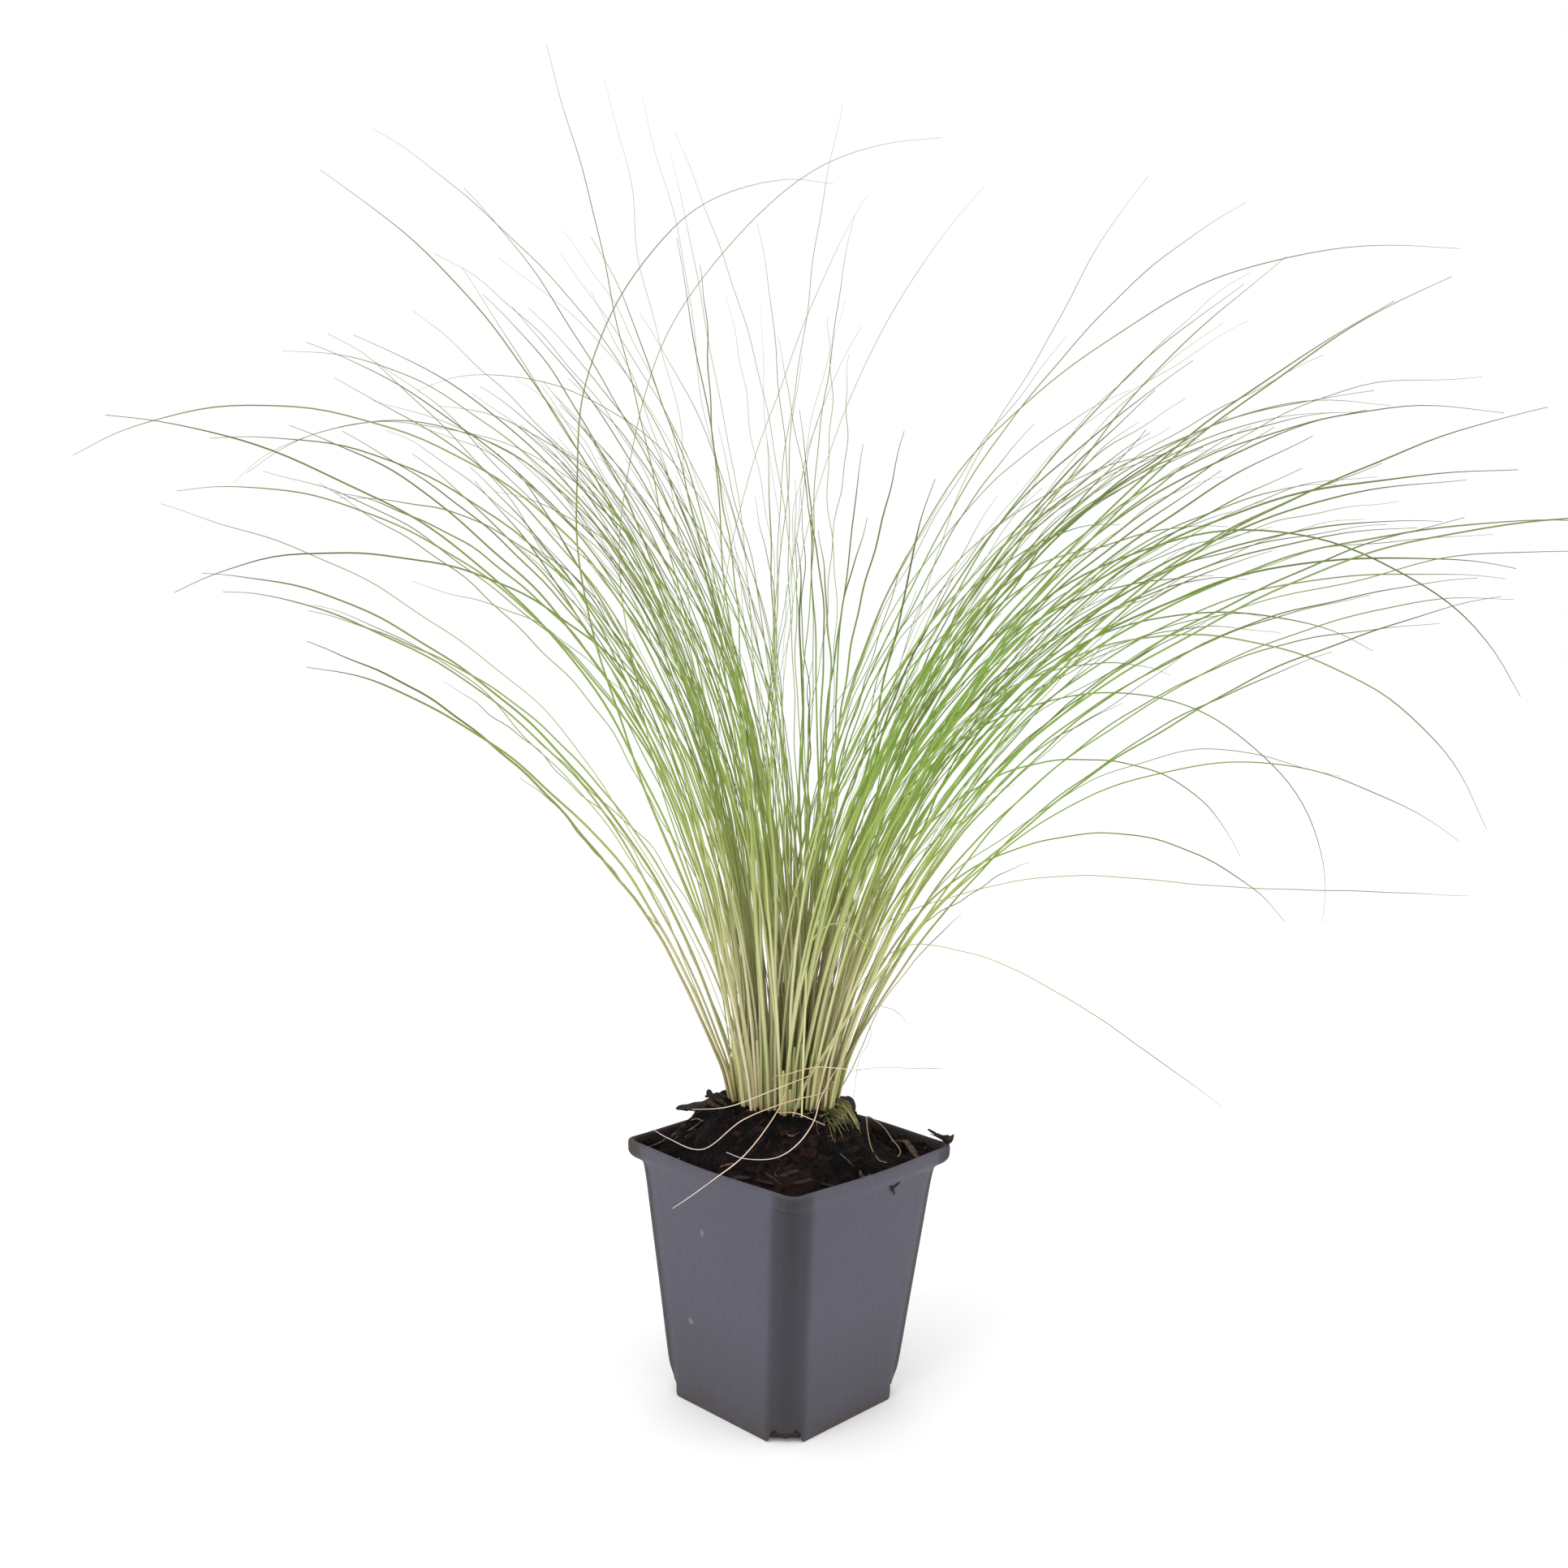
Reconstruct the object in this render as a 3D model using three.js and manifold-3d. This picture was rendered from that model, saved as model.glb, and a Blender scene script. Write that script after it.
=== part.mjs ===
// A clump of Mexican feather grass standing in its square nursery pot. Millimetres, +Z up.
// The origin is the middle of the pot's foot, and the pot's sides face along X and Y. The clump falls in
// two lobes, to either side of a line that is turned HEADING about Z; along that line a place is
// (u, v, z), with u from the left lobe to the right one and v to the back.
import * as THREE from "three";
import Module from "manifold-3d";

const wasm = await Module();
wasm.setup();

// ---------- driving dimensions ----------
const CLEARANCE = 0.3; // left between two pieces that touch
const HEADING = THREE.MathUtils.degToRad(43.8);

const POT = {
  height: 99,
  footHalf: 33.5, // half the width over the sides, at the foot
  draft: 0.0967, // how far a side moves out per millimetre of height
  wall: 1,
  floor: 1.6,
  bellyTop: 90, // the set-back corners run up to here
  lipStart: 92.5,
  lipLow: 94.5,
  lipHigh: 98.5,
  lipHalf: 45,
  lipTopHalf: 44.5,
  mouthHalf: 43.4,
  mouthDrop: 0.4, // the mouth's edge is this far under the rim's top
  shoulder: 0.5, // the inside turns out this far under lipLow
};
// A set-back corner: the side ends faceEnd before the corner, steps back, and a quarter round follows.
const SET_BACK = { faceEnd: 11.3, centre: 7, step: 1.3 };
const SET_BACK_FOOT = { faceEnd: 8.5, centre: 6, step: 2.6 };
const SET_BACK_HEEL = { faceEnd: 10, centre: 6.4, step: 1.5 };
const ROUNDED = { faceEnd: 11.3, centre: 4, step: 0 };
const HEEL = 4.5; // height at which a corner is half way in to its foot
const ANKLE = 11; // height at which it starts to go in
const ARC_STEPS = 3;
const GROOVE = { start: 14, end: 50, height: 2.6, topWidth: 10, footWidth: 12.6, flare: 1, roof: 1.3 };
const DRAIN = { radius: 2.5, sides: 8, places: [20, 30], top: 6 };

const SOIL = {
  edge: 95.5,
  skirt: 96,
  mound: 18.5,
  moundReach: 50,
  moundRun: 26,
  moundSkew: [0.3, 0.15], // how much sooner it falls off to the right and the back, along u and v
  edgeRun: 8,
  perFace: 3,
  rings: [0.94, 0.82, 0.7, 0.58, 0.46, 0.28],
  wellOver: 2, // how far a well for a dry leaf is carried up past its collar
};
// The unevenness of the soil: crossed waves, each by its turns per millimetre along X and Y, its start and
// its height. Under the crown they die away to calm.
const WAVES = [
  [0.31, 0.12, 1.3, 0.7],
  [-0.18, 0.37, 0.4, 0.7],
  [0.55, -0.46, 2.2, 0.5],
];
const CALM = { share: 0.3, radius: 20, run: 12 };

const CROWN = { u: -2, radius: 19.5, tufts: 42, turn: 137.508, lean: 9, rootLift: 2 };
const SHEATH = { sides: 5, foot: 1.3, collar: 2.3, mouth: 2, depth: 18, height: 9 };
const BLADE = { sides: 3, root: 0.8, tip: 0.42, ring: 1.7, ringTurn: 60, fan: 2.5, perTuft: 7 };
const LONG_BLADE_ROOT = 0.85;
// The kinds of blade that fill the clump up, drawn by share. spread is the lean in degrees of a blade at
// the crown's edge and stray what is added to it either way; fall is the lean that a blade of full length
// gains, which at the crown's edge has fallSpread added to it.
const UPRIGHT = {
  share: 0.08,
  spread: [9, 13],
  stray: [3, 4],
  fallU: [-30, 30],
  fallV: [25, 85],
  sideStray: 0.3,
  length: [190, 370],
  power: [1.2, 1.8],
};
const SPLAYED = {
  share: 0.07,
  leanU: [11, 24],
  spreadV: 16,
  strayV: 5,
  fallU: [55, 100],
  fallSpread: 30,
  fallStray: 25,
  length: [150, 330],
  power: [1, 1.5],
};
const ARCHED = {
  left: { spreadU: 8, offset: -1, lengthShare: [0.25, 0.85], power: [1.35, 1.8] },
  right: { spreadU: 10, offset: 2, lengthShare: [0.3, 1], power: [1, 1.35] },
  spreadV: 9,
  stray: 3,
  fallU: [50, 102],
  fallSpread: 40,
  fallStray: 30,
  lengthPower: 0.75,
};
const TURN_STRAY = 20; // degrees about its tuft
const LOBE_STRAY = 0.35; // how far from the middle a blade may still fall with the other lobe
const PATH_STEPS = 24;
const BEND_PER_RING = 20; // degrees that a blade bends between two of its rings
const RING_COUNT = [3, 8]; // the fewest and the most stretches of a blade
const FULL_LENGTH = 400;
const TRIES = 200;
const NUDGE = { first: 4, perTry: 0.25 }; // degrees that a long leaf may be moved when drawn again
const SEED = 11;

// The long leaves, each by its root (u, v), its lean at the root and at the tip in degrees along u and v,
// its length, and how late along the leaf the bend comes.
const LONG_LEAVES = [
  // the left lobe
  [-6, 4, 1, 2, -62, 12, 430, 1.5],
  [-11, -6, -6, -3, -57, -18, 375, 1.7],
  [-12, 8, -3, 4, -84, 25, 400, 1.5],
  [-15, -2, -3, 0, -123, -12, 415, 1.7],
  [-14, 5, -2, 3, -122, 30, 405, 1.9],
  [-17, -5, -2, -4, -94, -28, 340, 1.7],
  [-17, 2, -5, 2, -95, 10, 360, 1.25],
  [-15, -9, 2, -5, -116, -35, 335, 1.5],
  [-18, -1, -20, 0, -88, -8, 285, 1.6],
  [-18, 5, -17, 4, -87, 20, 325, 1.2],
  [-19, -4, -20, -5, -77, -22, 235, 1.5],
  [-13, 9, 2, 6, -185, 30, 320, 2.3],
  [-9, -10, 4, -5, -116, -20, 340, 2.8],
  // the upright leaves between the lobes
  [-4, -3, -10, 0, -17, -6, 390, 1.2],
  [-6, 9, -24, 5, 98, 15, 440, 3.1],
  [-4, -8, -23, -3, 91, -12, 415, 2.5],
  [1, 3, 4, 2, -25, 10, 380, 1.35],
  [-2, 6, -3, 3, -15, 14, 375, 1.3],
  [4, -4, 0, -2, -9, -8, 320, 1.3],
  [-3, 1, -4, 1, 10, 4, 375, 1.3],
  [-7, -6, -13, -4, 32, -8, 345, 1.4],
  [4, 7, -2, 3, 8, 16, 350, 1.3],
  [5, -8, -7, -4, 42, -12, 345, 2],
  // the right lobe
  [6, 5, -3, 3, 54, 14, 415, 1],
  [8, -3, 1, -1, 98, -8, 430, 1.75],
  [11, 6, 6, 4, 91, 22, 410, 1.5],
  [8, 10, 4, 4, 81, 30, 410, 1.2],
  [12, -5, 6, -2, 99, -14, 390, 1.6],
  [10, 1, 0, 1, 93, 6, 365, 1],
  [13, -10, 8, -4, 100, -30, 345, 1.4],
  [18, 1, 17, 1, 127, 8, 310, 1.2],
  [16, 7, 2, 6, 147, 35, 275, 1.4],
  [17, -4, 11, -4, 141, -25, 230, 1.45],
  [15, -10, 6, -8, 156, -40, 200, 0.9],
  [13, 9, -4, 3, 183, 20, 373, 1.4],
  [14, -7, -2, -4, 157, -22, 373, 1.4],
  [11, -11, 3, -5, 151, -35, 395, 1.8],
  [17, 5, 22, 3, 110, 15, 280, 0.9],
  [14, 3, 4, 2, 116, 10, 330, 1.4],
];

// The dry leaves that have dropped over the soil, each by its thickness and the points (u, v, z) of its
// route, from where it leaves the soil to its tip.
const DRY_ROOT_DEPTH = 4;
const DRY_COLLAR = 0.5; // the height over the soil at which a dry leaf begins to lean
const DRY_TIP = 0.85; // the tip's share of the thickness
const DRY_LIFT = 0.9; // over the soil, whose faces rise a little above its waves
const SEAT_DEPTH = 2; // how far moss and bark are made into the soil, before it is cut from them
const RIM_MARGIN = { inside: 2, outside: 1 }; // how far over the rim counts as the rim for a dry leaf
const DRY_STEPS = 8;
const DRY_SIDES = 3;
const DRY_LEAVES = [
  {
    radius: 0.45,
    route: [[7, -24.5, 122], [3.5, -27, 131], [-5, -28, 127.6], [-23, -22.5, 118.6], [-37, -12, 114]],
  },
  {
    radius: 0.5,
    route: [
      [12, -24.5, 121],
      [-0.3, -27, 122.6],
      [-17.3, -28.5, 115.7],
      [-31.8, -24.5, 103],
      [-45.7, -10, 102],
      [-52.5, -3, 103.3],
    ],
  },
  {
    radius: 0.45,
    route: [
      [-3.2, -25, 119],
      [-9, -34, 114.2],
      [-17.6, -44, 106.2],
      [-26.5, -46, 99.5],
      [-35, -42, 91.5],
      [-42, -36, 84.5],
    ],
  },
  {
    radius: 0.45,
    route: [
      [15, -24, 119],
      [8.2, -31.5, 116.4],
      [2.1, -39, 110],
      [-5, -43, 106.6],
      [-16.4, -40, 105],
      [-23, -36.5, 106],
    ],
  },
  {
    radius: 0.4,
    route: [[-6, -24.5, 119], [1, -27.5, 118.5], [8, -29.5, 116.6], [12.5, -30.5, 115]],
  },
  {
    radius: 0.4,
    route: [
      [31.4, 9.5, 103.5],
      [30.4, 4, 106.5],
      [29.9, -7.1, 105.2],
      [32.4, -13.1, 101.2],
      [35.5, -23.2, 98.4],
    ],
  },
  {
    radius: 0.4,
    route: [
      [33, 13, 101.5],
      [34, 11.8, 104.2],
      [36.9, 10, 101.8],
      [40.9, 4, 98.8],
      [41.5, -4.4, 98.2],
      [40.3, -12.5, 98.2],
    ],
  },
  {
    radius: 0.4,
    route: [[-8, -25, 124], [-4, -27, 132], [8.5, -30, 136.3], [21, -27.5, 135.2], [38, -20, 133.7]],
  },
  {
    radius: 0.5,
    route: [
      [4, -25.5, 125],
      [4.2, -26.5, 154],
      [6, -27.5, 182],
      [14.2, -28, 189],
      [22, -27, 185],
      [27.5, -26, 178],
    ],
  },
];

// Flat chips, each by the points (u, v, z) of its middle line and its half width and half thickness there.
// How the edge of a chip of bark is uneven: a wave by its share of the width and its turn per corner.
const CHIPPED = { size: 0.1, turn: 2.4 };
const BARK_FLAKE = {
  route: [
    [-27.3, 0, 115],
    [-34, 1, 111.9],
    [-44, 1, 110.4],
  ],
  half: [3.2, 4.4, 1.6],
  thick: [1.2, 1.3, 0.7],
};
const RIM_CHIP = {
  route: [
    [52, 9.6, 101.6],
    [57, 4.6, 100.5],
    [61.3, 0.4, 100.9],
    [63.4, -0.6, 102.6],
  ],
  half: [0.9, 1.7, 1.5, 0.8],
  thick: [0.5, 0.6, 0.6, 0.5],
};
const BARK_KNOB = { u: 24, v: 5, radius: 4, lumps: 0.16, seat: -0.15 };
const MOSS = { u: 19.5, v: -17, radius: 5.2, height: 3.4, edge: 0.04, sectors: 14, rings: 3 };
const MOSS_LOBES = [0.14, 0.08];
const MOSS_LUMPS = 0.2;
// What the blades keep clear of at the crown's edge: stretches (u, v, z) to (u, v, z) with a radius.
const KEEP_OUT = [
  { from: [-27.3, 0, 115], to: [-34, 1, 112], radius: 3.4 },
  { from: [24, 5, 109], to: [24, 5, 112], radius: 4.8 },
  { from: [17.1, -17, 114], to: [21.9, -17, 112.5], radius: 3.6 },
  { from: [19.5, -14.6, 113.5], to: [19.5, -19.4, 112.5], radius: 3.6 },
];

// Colours, roughness and metalness
const FINISH = {
  pot: { color: 0x67646f, roughness: 0.55, metalness: 0 },
  soil: { color: 0x1d1512, roughness: 0.97, metalness: 0 },
  grass: { color: 0x8fa862, roughness: 0.6, metalness: 0 },
  dry: { color: 0xd0b890, roughness: 0.7, metalness: 0 },
  bark: { color: 0x3a2c22, roughness: 0.9, metalness: 0 },
  moss: { color: 0x6f7a34, roughness: 0.95, metalness: 0 },
};

// ---------- draws, vectors and solids ----------
// A linear congruential generator, so that each build draws the same clump.
let drawState = SEED;
function draw(low = 0, high = 1) {
  drawState = (drawState * 1664525 + 1013904223) % 4294967296;
  return low + ((high - low) * drawState) / 4294967296;
}

const vec = (x, y, z) => new THREE.Vector3(x, y, z);
const smooth = (t) => THREE.MathUtils.smoothstep(t, 0, 1);

// A closed solid through rings of points, each ring counter-clockwise seen from the last one. The ends
// are fans from the middle of the ring, or from a corner of it where it has only a few sides.
const FEW_SIDES = 6;
function loft(rings) {
  const n = rings[0].length;
  const points = rings.flat();
  const triangles = [];
  for (let r = 0; r + 1 < rings.length; r++)
    for (let i = 0; i < n; i++) {
      const a = r * n + i;
      const b = r * n + ((i + 1) % n);
      triangles.push([a, b, b + n], [a, b + n, a + n]);
    }
  const close = (start, flip) => {
    const few = n <= FEW_SIDES;
    const hub = few ? start : points.length;
    if (!few) {
      const middle = vec(0, 0, 0);
      for (let i = 0; i < n; i++) middle.addScaledVector(points[start + i], 1 / n);
      points.push(middle);
    }
    for (let i = few ? 1 : 0; i < (few ? n - 1 : n); i++) {
      const a = start + i;
      const b = start + ((i + 1) % n);
      triangles.push(flip ? [hub, b, a] : [hub, a, b]);
    }
  };
  close(0, true);
  close((rings.length - 1) * n, false);
  return solid(points, triangles);
}

function solid(points, triangles) {
  const vertProperties = new Float32Array(points.flatMap((p) => [p.x, p.y, p.z]));
  const triVerts = new Uint32Array(triangles.flat());
  return new wasm.Manifold(new wasm.Mesh({ numProp: 3, vertProperties, triVerts }));
}

// A solid swept along a spine: at each of its points the section's points lie along a level line across
// the spine and along the direction square to both. level is that line's direction for the whole sweep.
function sweep(spine, sections, level) {
  const rings = spine.map((p, i) => {
    const before = spine[Math.max(i - 1, 0)];
    const after = spine[Math.min(i + 1, spine.length - 1)];
    const along = after.clone().sub(before).normalize();
    const across = level.clone().addScaledVector(along, -level.dot(along)).normalize();
    const up = along.clone().cross(across);
    return sections[i].map(([a, b]) => p.clone().addScaledVector(across, a).addScaledVector(up, b));
  });
  return loft(rings);
}

// An ellipse-shaped section with its corners at equal angles.
function oval(sides, halfWidth, halfThickness = halfWidth) {
  return Array.from({ length: sides }, (_, k) => {
    const angle = (2 * Math.PI * k) / sides;
    return [halfWidth * Math.cos(angle), halfThickness * Math.sin(angle)];
  });
}

function mesh(name, body, finish) {
  const { vertProperties, triVerts } = body.getMesh();
  const geometry = new THREE.BufferGeometry();
  geometry.setAttribute("position", new THREE.BufferAttribute(new Float32Array(vertProperties), 3));
  geometry.setIndex(new THREE.BufferAttribute(new Uint32Array(triVerts), 1));
  geometry.computeVertexNormals();
  const piece = new THREE.Mesh(geometry, new THREE.MeshStandardMaterial({ ...finish, flatShading: true }));
  piece.name = name;
  return piece;
}

// ---------- the pot ----------
const sideAt = (z) => POT.footHalf + POT.draft * z;
const SHOULDER = POT.lipLow - POT.shoulder;
const OVER = 1; // how far a cut runs past the face that it opens

// The pot's section at height z, half wide over the sides, moved in by inset; each side may be divided.
function squareRing(z, half, corner, inset = 0, perFace = 0) {
  const ring = [];
  for (let quarter = 0; quarter < 4; quarter++) {
    const turn = (x, y) => vec(x, y, z).applyAxisAngle(vec(0, 0, 1), (quarter * Math.PI) / 2);
    const face = half - inset;
    const end = half - corner.faceEnd;
    for (let k = 1; k <= perFace; k++) ring.push(turn(face, end * ((2 * k) / (perFace + 1) - 1)));
    ring.push(turn(face, end));
    const middle = half - corner.centre;
    const radius = corner.centre - corner.step - inset;
    for (let k = 0; k <= ARC_STEPS; k++) {
      const angle = ((k / ARC_STEPS) * Math.PI) / 2;
      ring.push(turn(middle + radius * Math.cos(angle), middle + radius * Math.sin(angle)));
    }
    ring.push(turn(end, face));
  }
  return ring;
}

// A bar with a wider foot that runs out along each diagonal, under or over the pot's floor.
function diagonalBars(high, [topWidth, footWidth], start) {
  const section = [
    [footWidth / 2, -OVER],
    [topWidth / 2, high],
    [-topWidth / 2, high],
    [-footWidth / 2, -OVER],
  ];
  return [0, 1, 2, 3].map((k) => {
    const angle = Math.PI / 4 + (k * Math.PI) / 2;
    const out = vec(Math.cos(angle), Math.sin(angle), 0);
    const side = vec(Math.sin(angle), -Math.cos(angle), 0);
    const point = (r, s, z) => out.clone().multiplyScalar(r).addScaledVector(side, s).setZ(z);
    return loft([GROOVE.end, start].map((r) => section.map(([s, z]) => point(r, s, z))));
  });
}

function drains() {
  const wells = [];
  for (let k = 0; k < 4; k++)
    for (const place of DRAIN.places) {
      const angle = Math.PI / 4 + (k * Math.PI) / 2;
      const middle = vec(place * Math.cos(angle), place * Math.sin(angle), 0);
      const round = oval(DRAIN.sides, DRAIN.radius);
      const ring = (z) => round.map(([x, y]) => vec(middle.x + x, middle.y + y, z));
      wells.push(loft([ring(-OVER), ring(DRAIN.top)]));
    }
  return wells;
}

// The inside of the pot, shrunk by gap; the ridges that roof the grooves stand up into it.
function inside(gap, top) {
  const inset = POT.wall + gap;
  const floor = POT.floor + gap;
  const body = loft([
    squareRing(floor, sideAt(floor), SET_BACK_FOOT, inset, top.perFace),
    squareRing(HEEL, sideAt(HEEL), SET_BACK_HEEL, inset, top.perFace),
    squareRing(ANKLE, sideAt(ANKLE), SET_BACK, inset, top.perFace),
    squareRing(POT.bellyTop, sideAt(POT.bellyTop), SET_BACK, inset, top.perFace),
    squareRing(SHOULDER, sideAt(SHOULDER), ROUNDED, inset, top.perFace),
    ...top.rings,
  ]);
  const roof = GROOVE.height + GROOVE.roof + gap;
  const wide = 2 * (GROOVE.roof + gap);
  const widths = [GROOVE.topWidth + wide, GROOVE.footWidth + wide];
  const ridges = diagonalBars(roof, widths, GROOVE.start - wide / 2);
  return ridges.reduce((rest, ridge) => rest.subtract(ridge), body);
}

function pot() {
  const outside = loft([
    squareRing(0, sideAt(0), SET_BACK_FOOT),
    squareRing(HEEL, sideAt(HEEL), SET_BACK_HEEL),
    squareRing(ANKLE, sideAt(ANKLE), SET_BACK),
    squareRing(POT.bellyTop, sideAt(POT.bellyTop), SET_BACK),
    squareRing(POT.lipStart, sideAt(POT.lipStart), ROUNDED),
    squareRing(POT.lipLow, POT.lipHalf, ROUNDED),
    squareRing(POT.lipHigh, POT.lipHalf, ROUNDED),
    squareRing(POT.height, POT.lipTopHalf, ROUNDED),
  ]);
  const mouthHeights = [POT.height - POT.mouthDrop, POT.height + OVER];
  const mouth = mouthHeights.map((z) => squareRing(z, POT.mouthHalf, ROUNDED));
  const widths = [GROOVE.topWidth, GROOVE.footWidth + GROOVE.flare];
  const grooves = diagonalBars(GROOVE.height, widths, GROOVE.start);
  const cuts = [inside(0, { perFace: 0, rings: mouth }), ...grooves, ...drains()];
  return cuts.reduce((rest, cut) => rest.subtract(cut), outside);
}

// ---------- the soil ----------
// The height of the soil at (x, y): a mound under the crown, steeper to the right and the back, level with
// the rim along the sides, and three crossed waves that die away under the crown.
function soilHeight(x, y) {
  const r = Math.hypot(x, y);
  const along = vec(x, y, 0).applyAxisAngle(vec(0, 0, 1), -HEADING);
  const skew = Math.max(0, SOIL.moundSkew[0] * along.x + SOIL.moundSkew[1] * along.y);
  const fromSide = POT.mouthHalf - POT.wall - Math.max(Math.abs(x), Math.abs(y));
  const rise = smooth((SOIL.moundReach - r - skew) / SOIL.moundRun);
  const mound = SOIL.mound * rise * smooth(fromSide / SOIL.edgeRun);
  const rough = CALM.share + (1 - CALM.share) * smooth((r - CALM.radius) / CALM.run);
  const wave = ([a, b, start, size]) => size * Math.sin(a * x + b * y + start);
  const waves = WAVES.reduce((sum, one) => sum + wave(one), 0);
  return SOIL.skirt + mound + rough * waves;
}

// The soil's top as rings of points from its edge inwards.
const SOIL_EDGE_HALF = THREE.MathUtils.mapLinear(
  SOIL.edge,
  SHOULDER,
  POT.height - POT.mouthDrop,
  sideAt(SHOULDER) - POT.wall,
  POT.mouthHalf,
);
const soilEdge = squareRing(SOIL.edge, SOIL_EDGE_HALF, ROUNDED, CLEARANCE, SOIL.perFace);
const soilTop = SOIL.rings.map((scale) =>
  soilEdge.map((p) => vec(p.x * scale, p.y * scale, soilHeight(p.x * scale, p.y * scale))),
);

const toPot = (u, v, z = 0) => vec(u, v, z).applyAxisAngle(vec(0, 0, 1), HEADING);
const soilHeightAlong = (u, v) => {
  const place = toPot(u, v);
  return soilHeight(place.x, place.y);
};

function soil(wells) {
  const body = inside(CLEARANCE, { perFace: SOIL.perFace, rings: [soilEdge, ...soilTop] });
  return wells.reduce((rest, well) => rest.subtract(well), body);
}

// ---------- the grass ----------
const tuftPlace = (i) => {
  const r = CROWN.radius * Math.sqrt((i + 0.5) / CROWN.tufts);
  const angle = THREE.MathUtils.degToRad(i * CROWN.turn);
  return [r * Math.cos(angle), r * Math.sin(angle)];
};

// A leaf's path: the lean goes from its value at the root to its value at the tip with a power of the
// way along, and the steps are summed from the root.
function leafPath(root, leaf) {
  const points = [root.clone()];
  for (let k = 0; k < PATH_STEPS; k++) {
    const way = ((k + 0.5) / PATH_STEPS) ** leaf.power;
    const leanU = leaf.from[0] + (leaf.to[0] - leaf.from[0]) * way;
    const leanV = leaf.from[1] + (leaf.to[1] - leaf.from[1]) * way;
    const lean = THREE.MathUtils.degToRad(Math.hypot(leanU, leanV));
    const heading = Math.atan2(leanV, leanU);
    const out = Math.sin(lean);
    const step = vec(out * Math.cos(heading), out * Math.sin(heading), Math.cos(lean));
    points.push(points[k].clone().addScaledVector(step, leaf.length / PATH_STEPS));
  }
  return points;
}

// The rings of a blade: as few points of its path as its bend needs, the bend shared out evenly, with
// the radius at each.
function bladeRings(root, leaf) {
  const path = leafPath(root, leaf);
  const bend = Math.hypot(leaf.to[0] - leaf.from[0], leaf.to[1] - leaf.from[1]);
  const count = THREE.MathUtils.clamp(Math.ceil(bend / BEND_PER_RING), ...RING_COUNT);
  const pathStep = (share) => Math.round(PATH_STEPS * share ** (1 / leaf.power));
  const at = Array.from({ length: count + 1 }, (_, k) => pathStep(k / count));
  return {
    spine: at.map((k) => path[k]),
    radii: at.map((k) => THREE.MathUtils.lerp(leaf.thick, BLADE.tip, k / PATH_STEPS)),
    heading: Math.atan2(leaf.to[1] - leaf.from[1], leaf.to[0] - leaf.from[0]),
  };
}

// The least distance between the straight stretches a-b and c-d.
function stretchDistance(a, b, c, d) {
  const p = b.clone().sub(a);
  const q = d.clone().sub(c);
  const r = a.clone().sub(c);
  const pp = p.dot(p);
  const qq = q.dot(q);
  const pq = p.dot(q);
  const pr = p.dot(r);
  const qr = q.dot(r);
  const flat = pp * qq - pq * pq;
  const clamp = (t) => THREE.MathUtils.clamp(t, 0, 1);
  let s = flat > 1e-9 ? clamp((pq * qr - pr * qq) / flat) : 0;
  let t = (pq * s + qr) / qq;
  if (t < 0 || t > 1) {
    t = clamp(t);
    s = clamp((pq * t - pr) / pp);
  }
  return r.addScaledVector(p, s).addScaledVector(q, -t).length();
}

// What has been placed so far, as straight stretches with a radius and an owner.
const placed = [];
function place(owner, spine, radii, sheath = false) {
  for (let k = 0; k + 1 < spine.length; k++) {
    const a = spine[k];
    const b = spine[k + 1];
    const middle = a.clone().add(b).multiplyScalar(0.5);
    const radius = Math.max(radii[k], radii[k + 1]);
    placed.push({ owner, sheath, a, b, radius, middle, reach: a.distanceTo(b) / 2 });
  }
}

function isClear(owner, spine, radii) {
  for (let k = 0; k + 1 < spine.length; k++) {
    const a = spine[k];
    const b = spine[k + 1];
    const middle = a.clone().add(b).multiplyScalar(0.5);
    const reach = a.distanceTo(b) / 2;
    const radius = Math.max(radii[k], radii[k + 1]);
    for (const other of placed) {
      const own = other.owner === owner;
      if (own && other.sheath) continue;
      const room = radius + other.radius + (own ? 0 : CLEARANCE);
      if (middle.distanceTo(other.middle) > reach + other.reach + room) continue;
      if (stretchDistance(a, b, other.a, other.b) < room) return false;
    }
  }
  return true;
}

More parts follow.
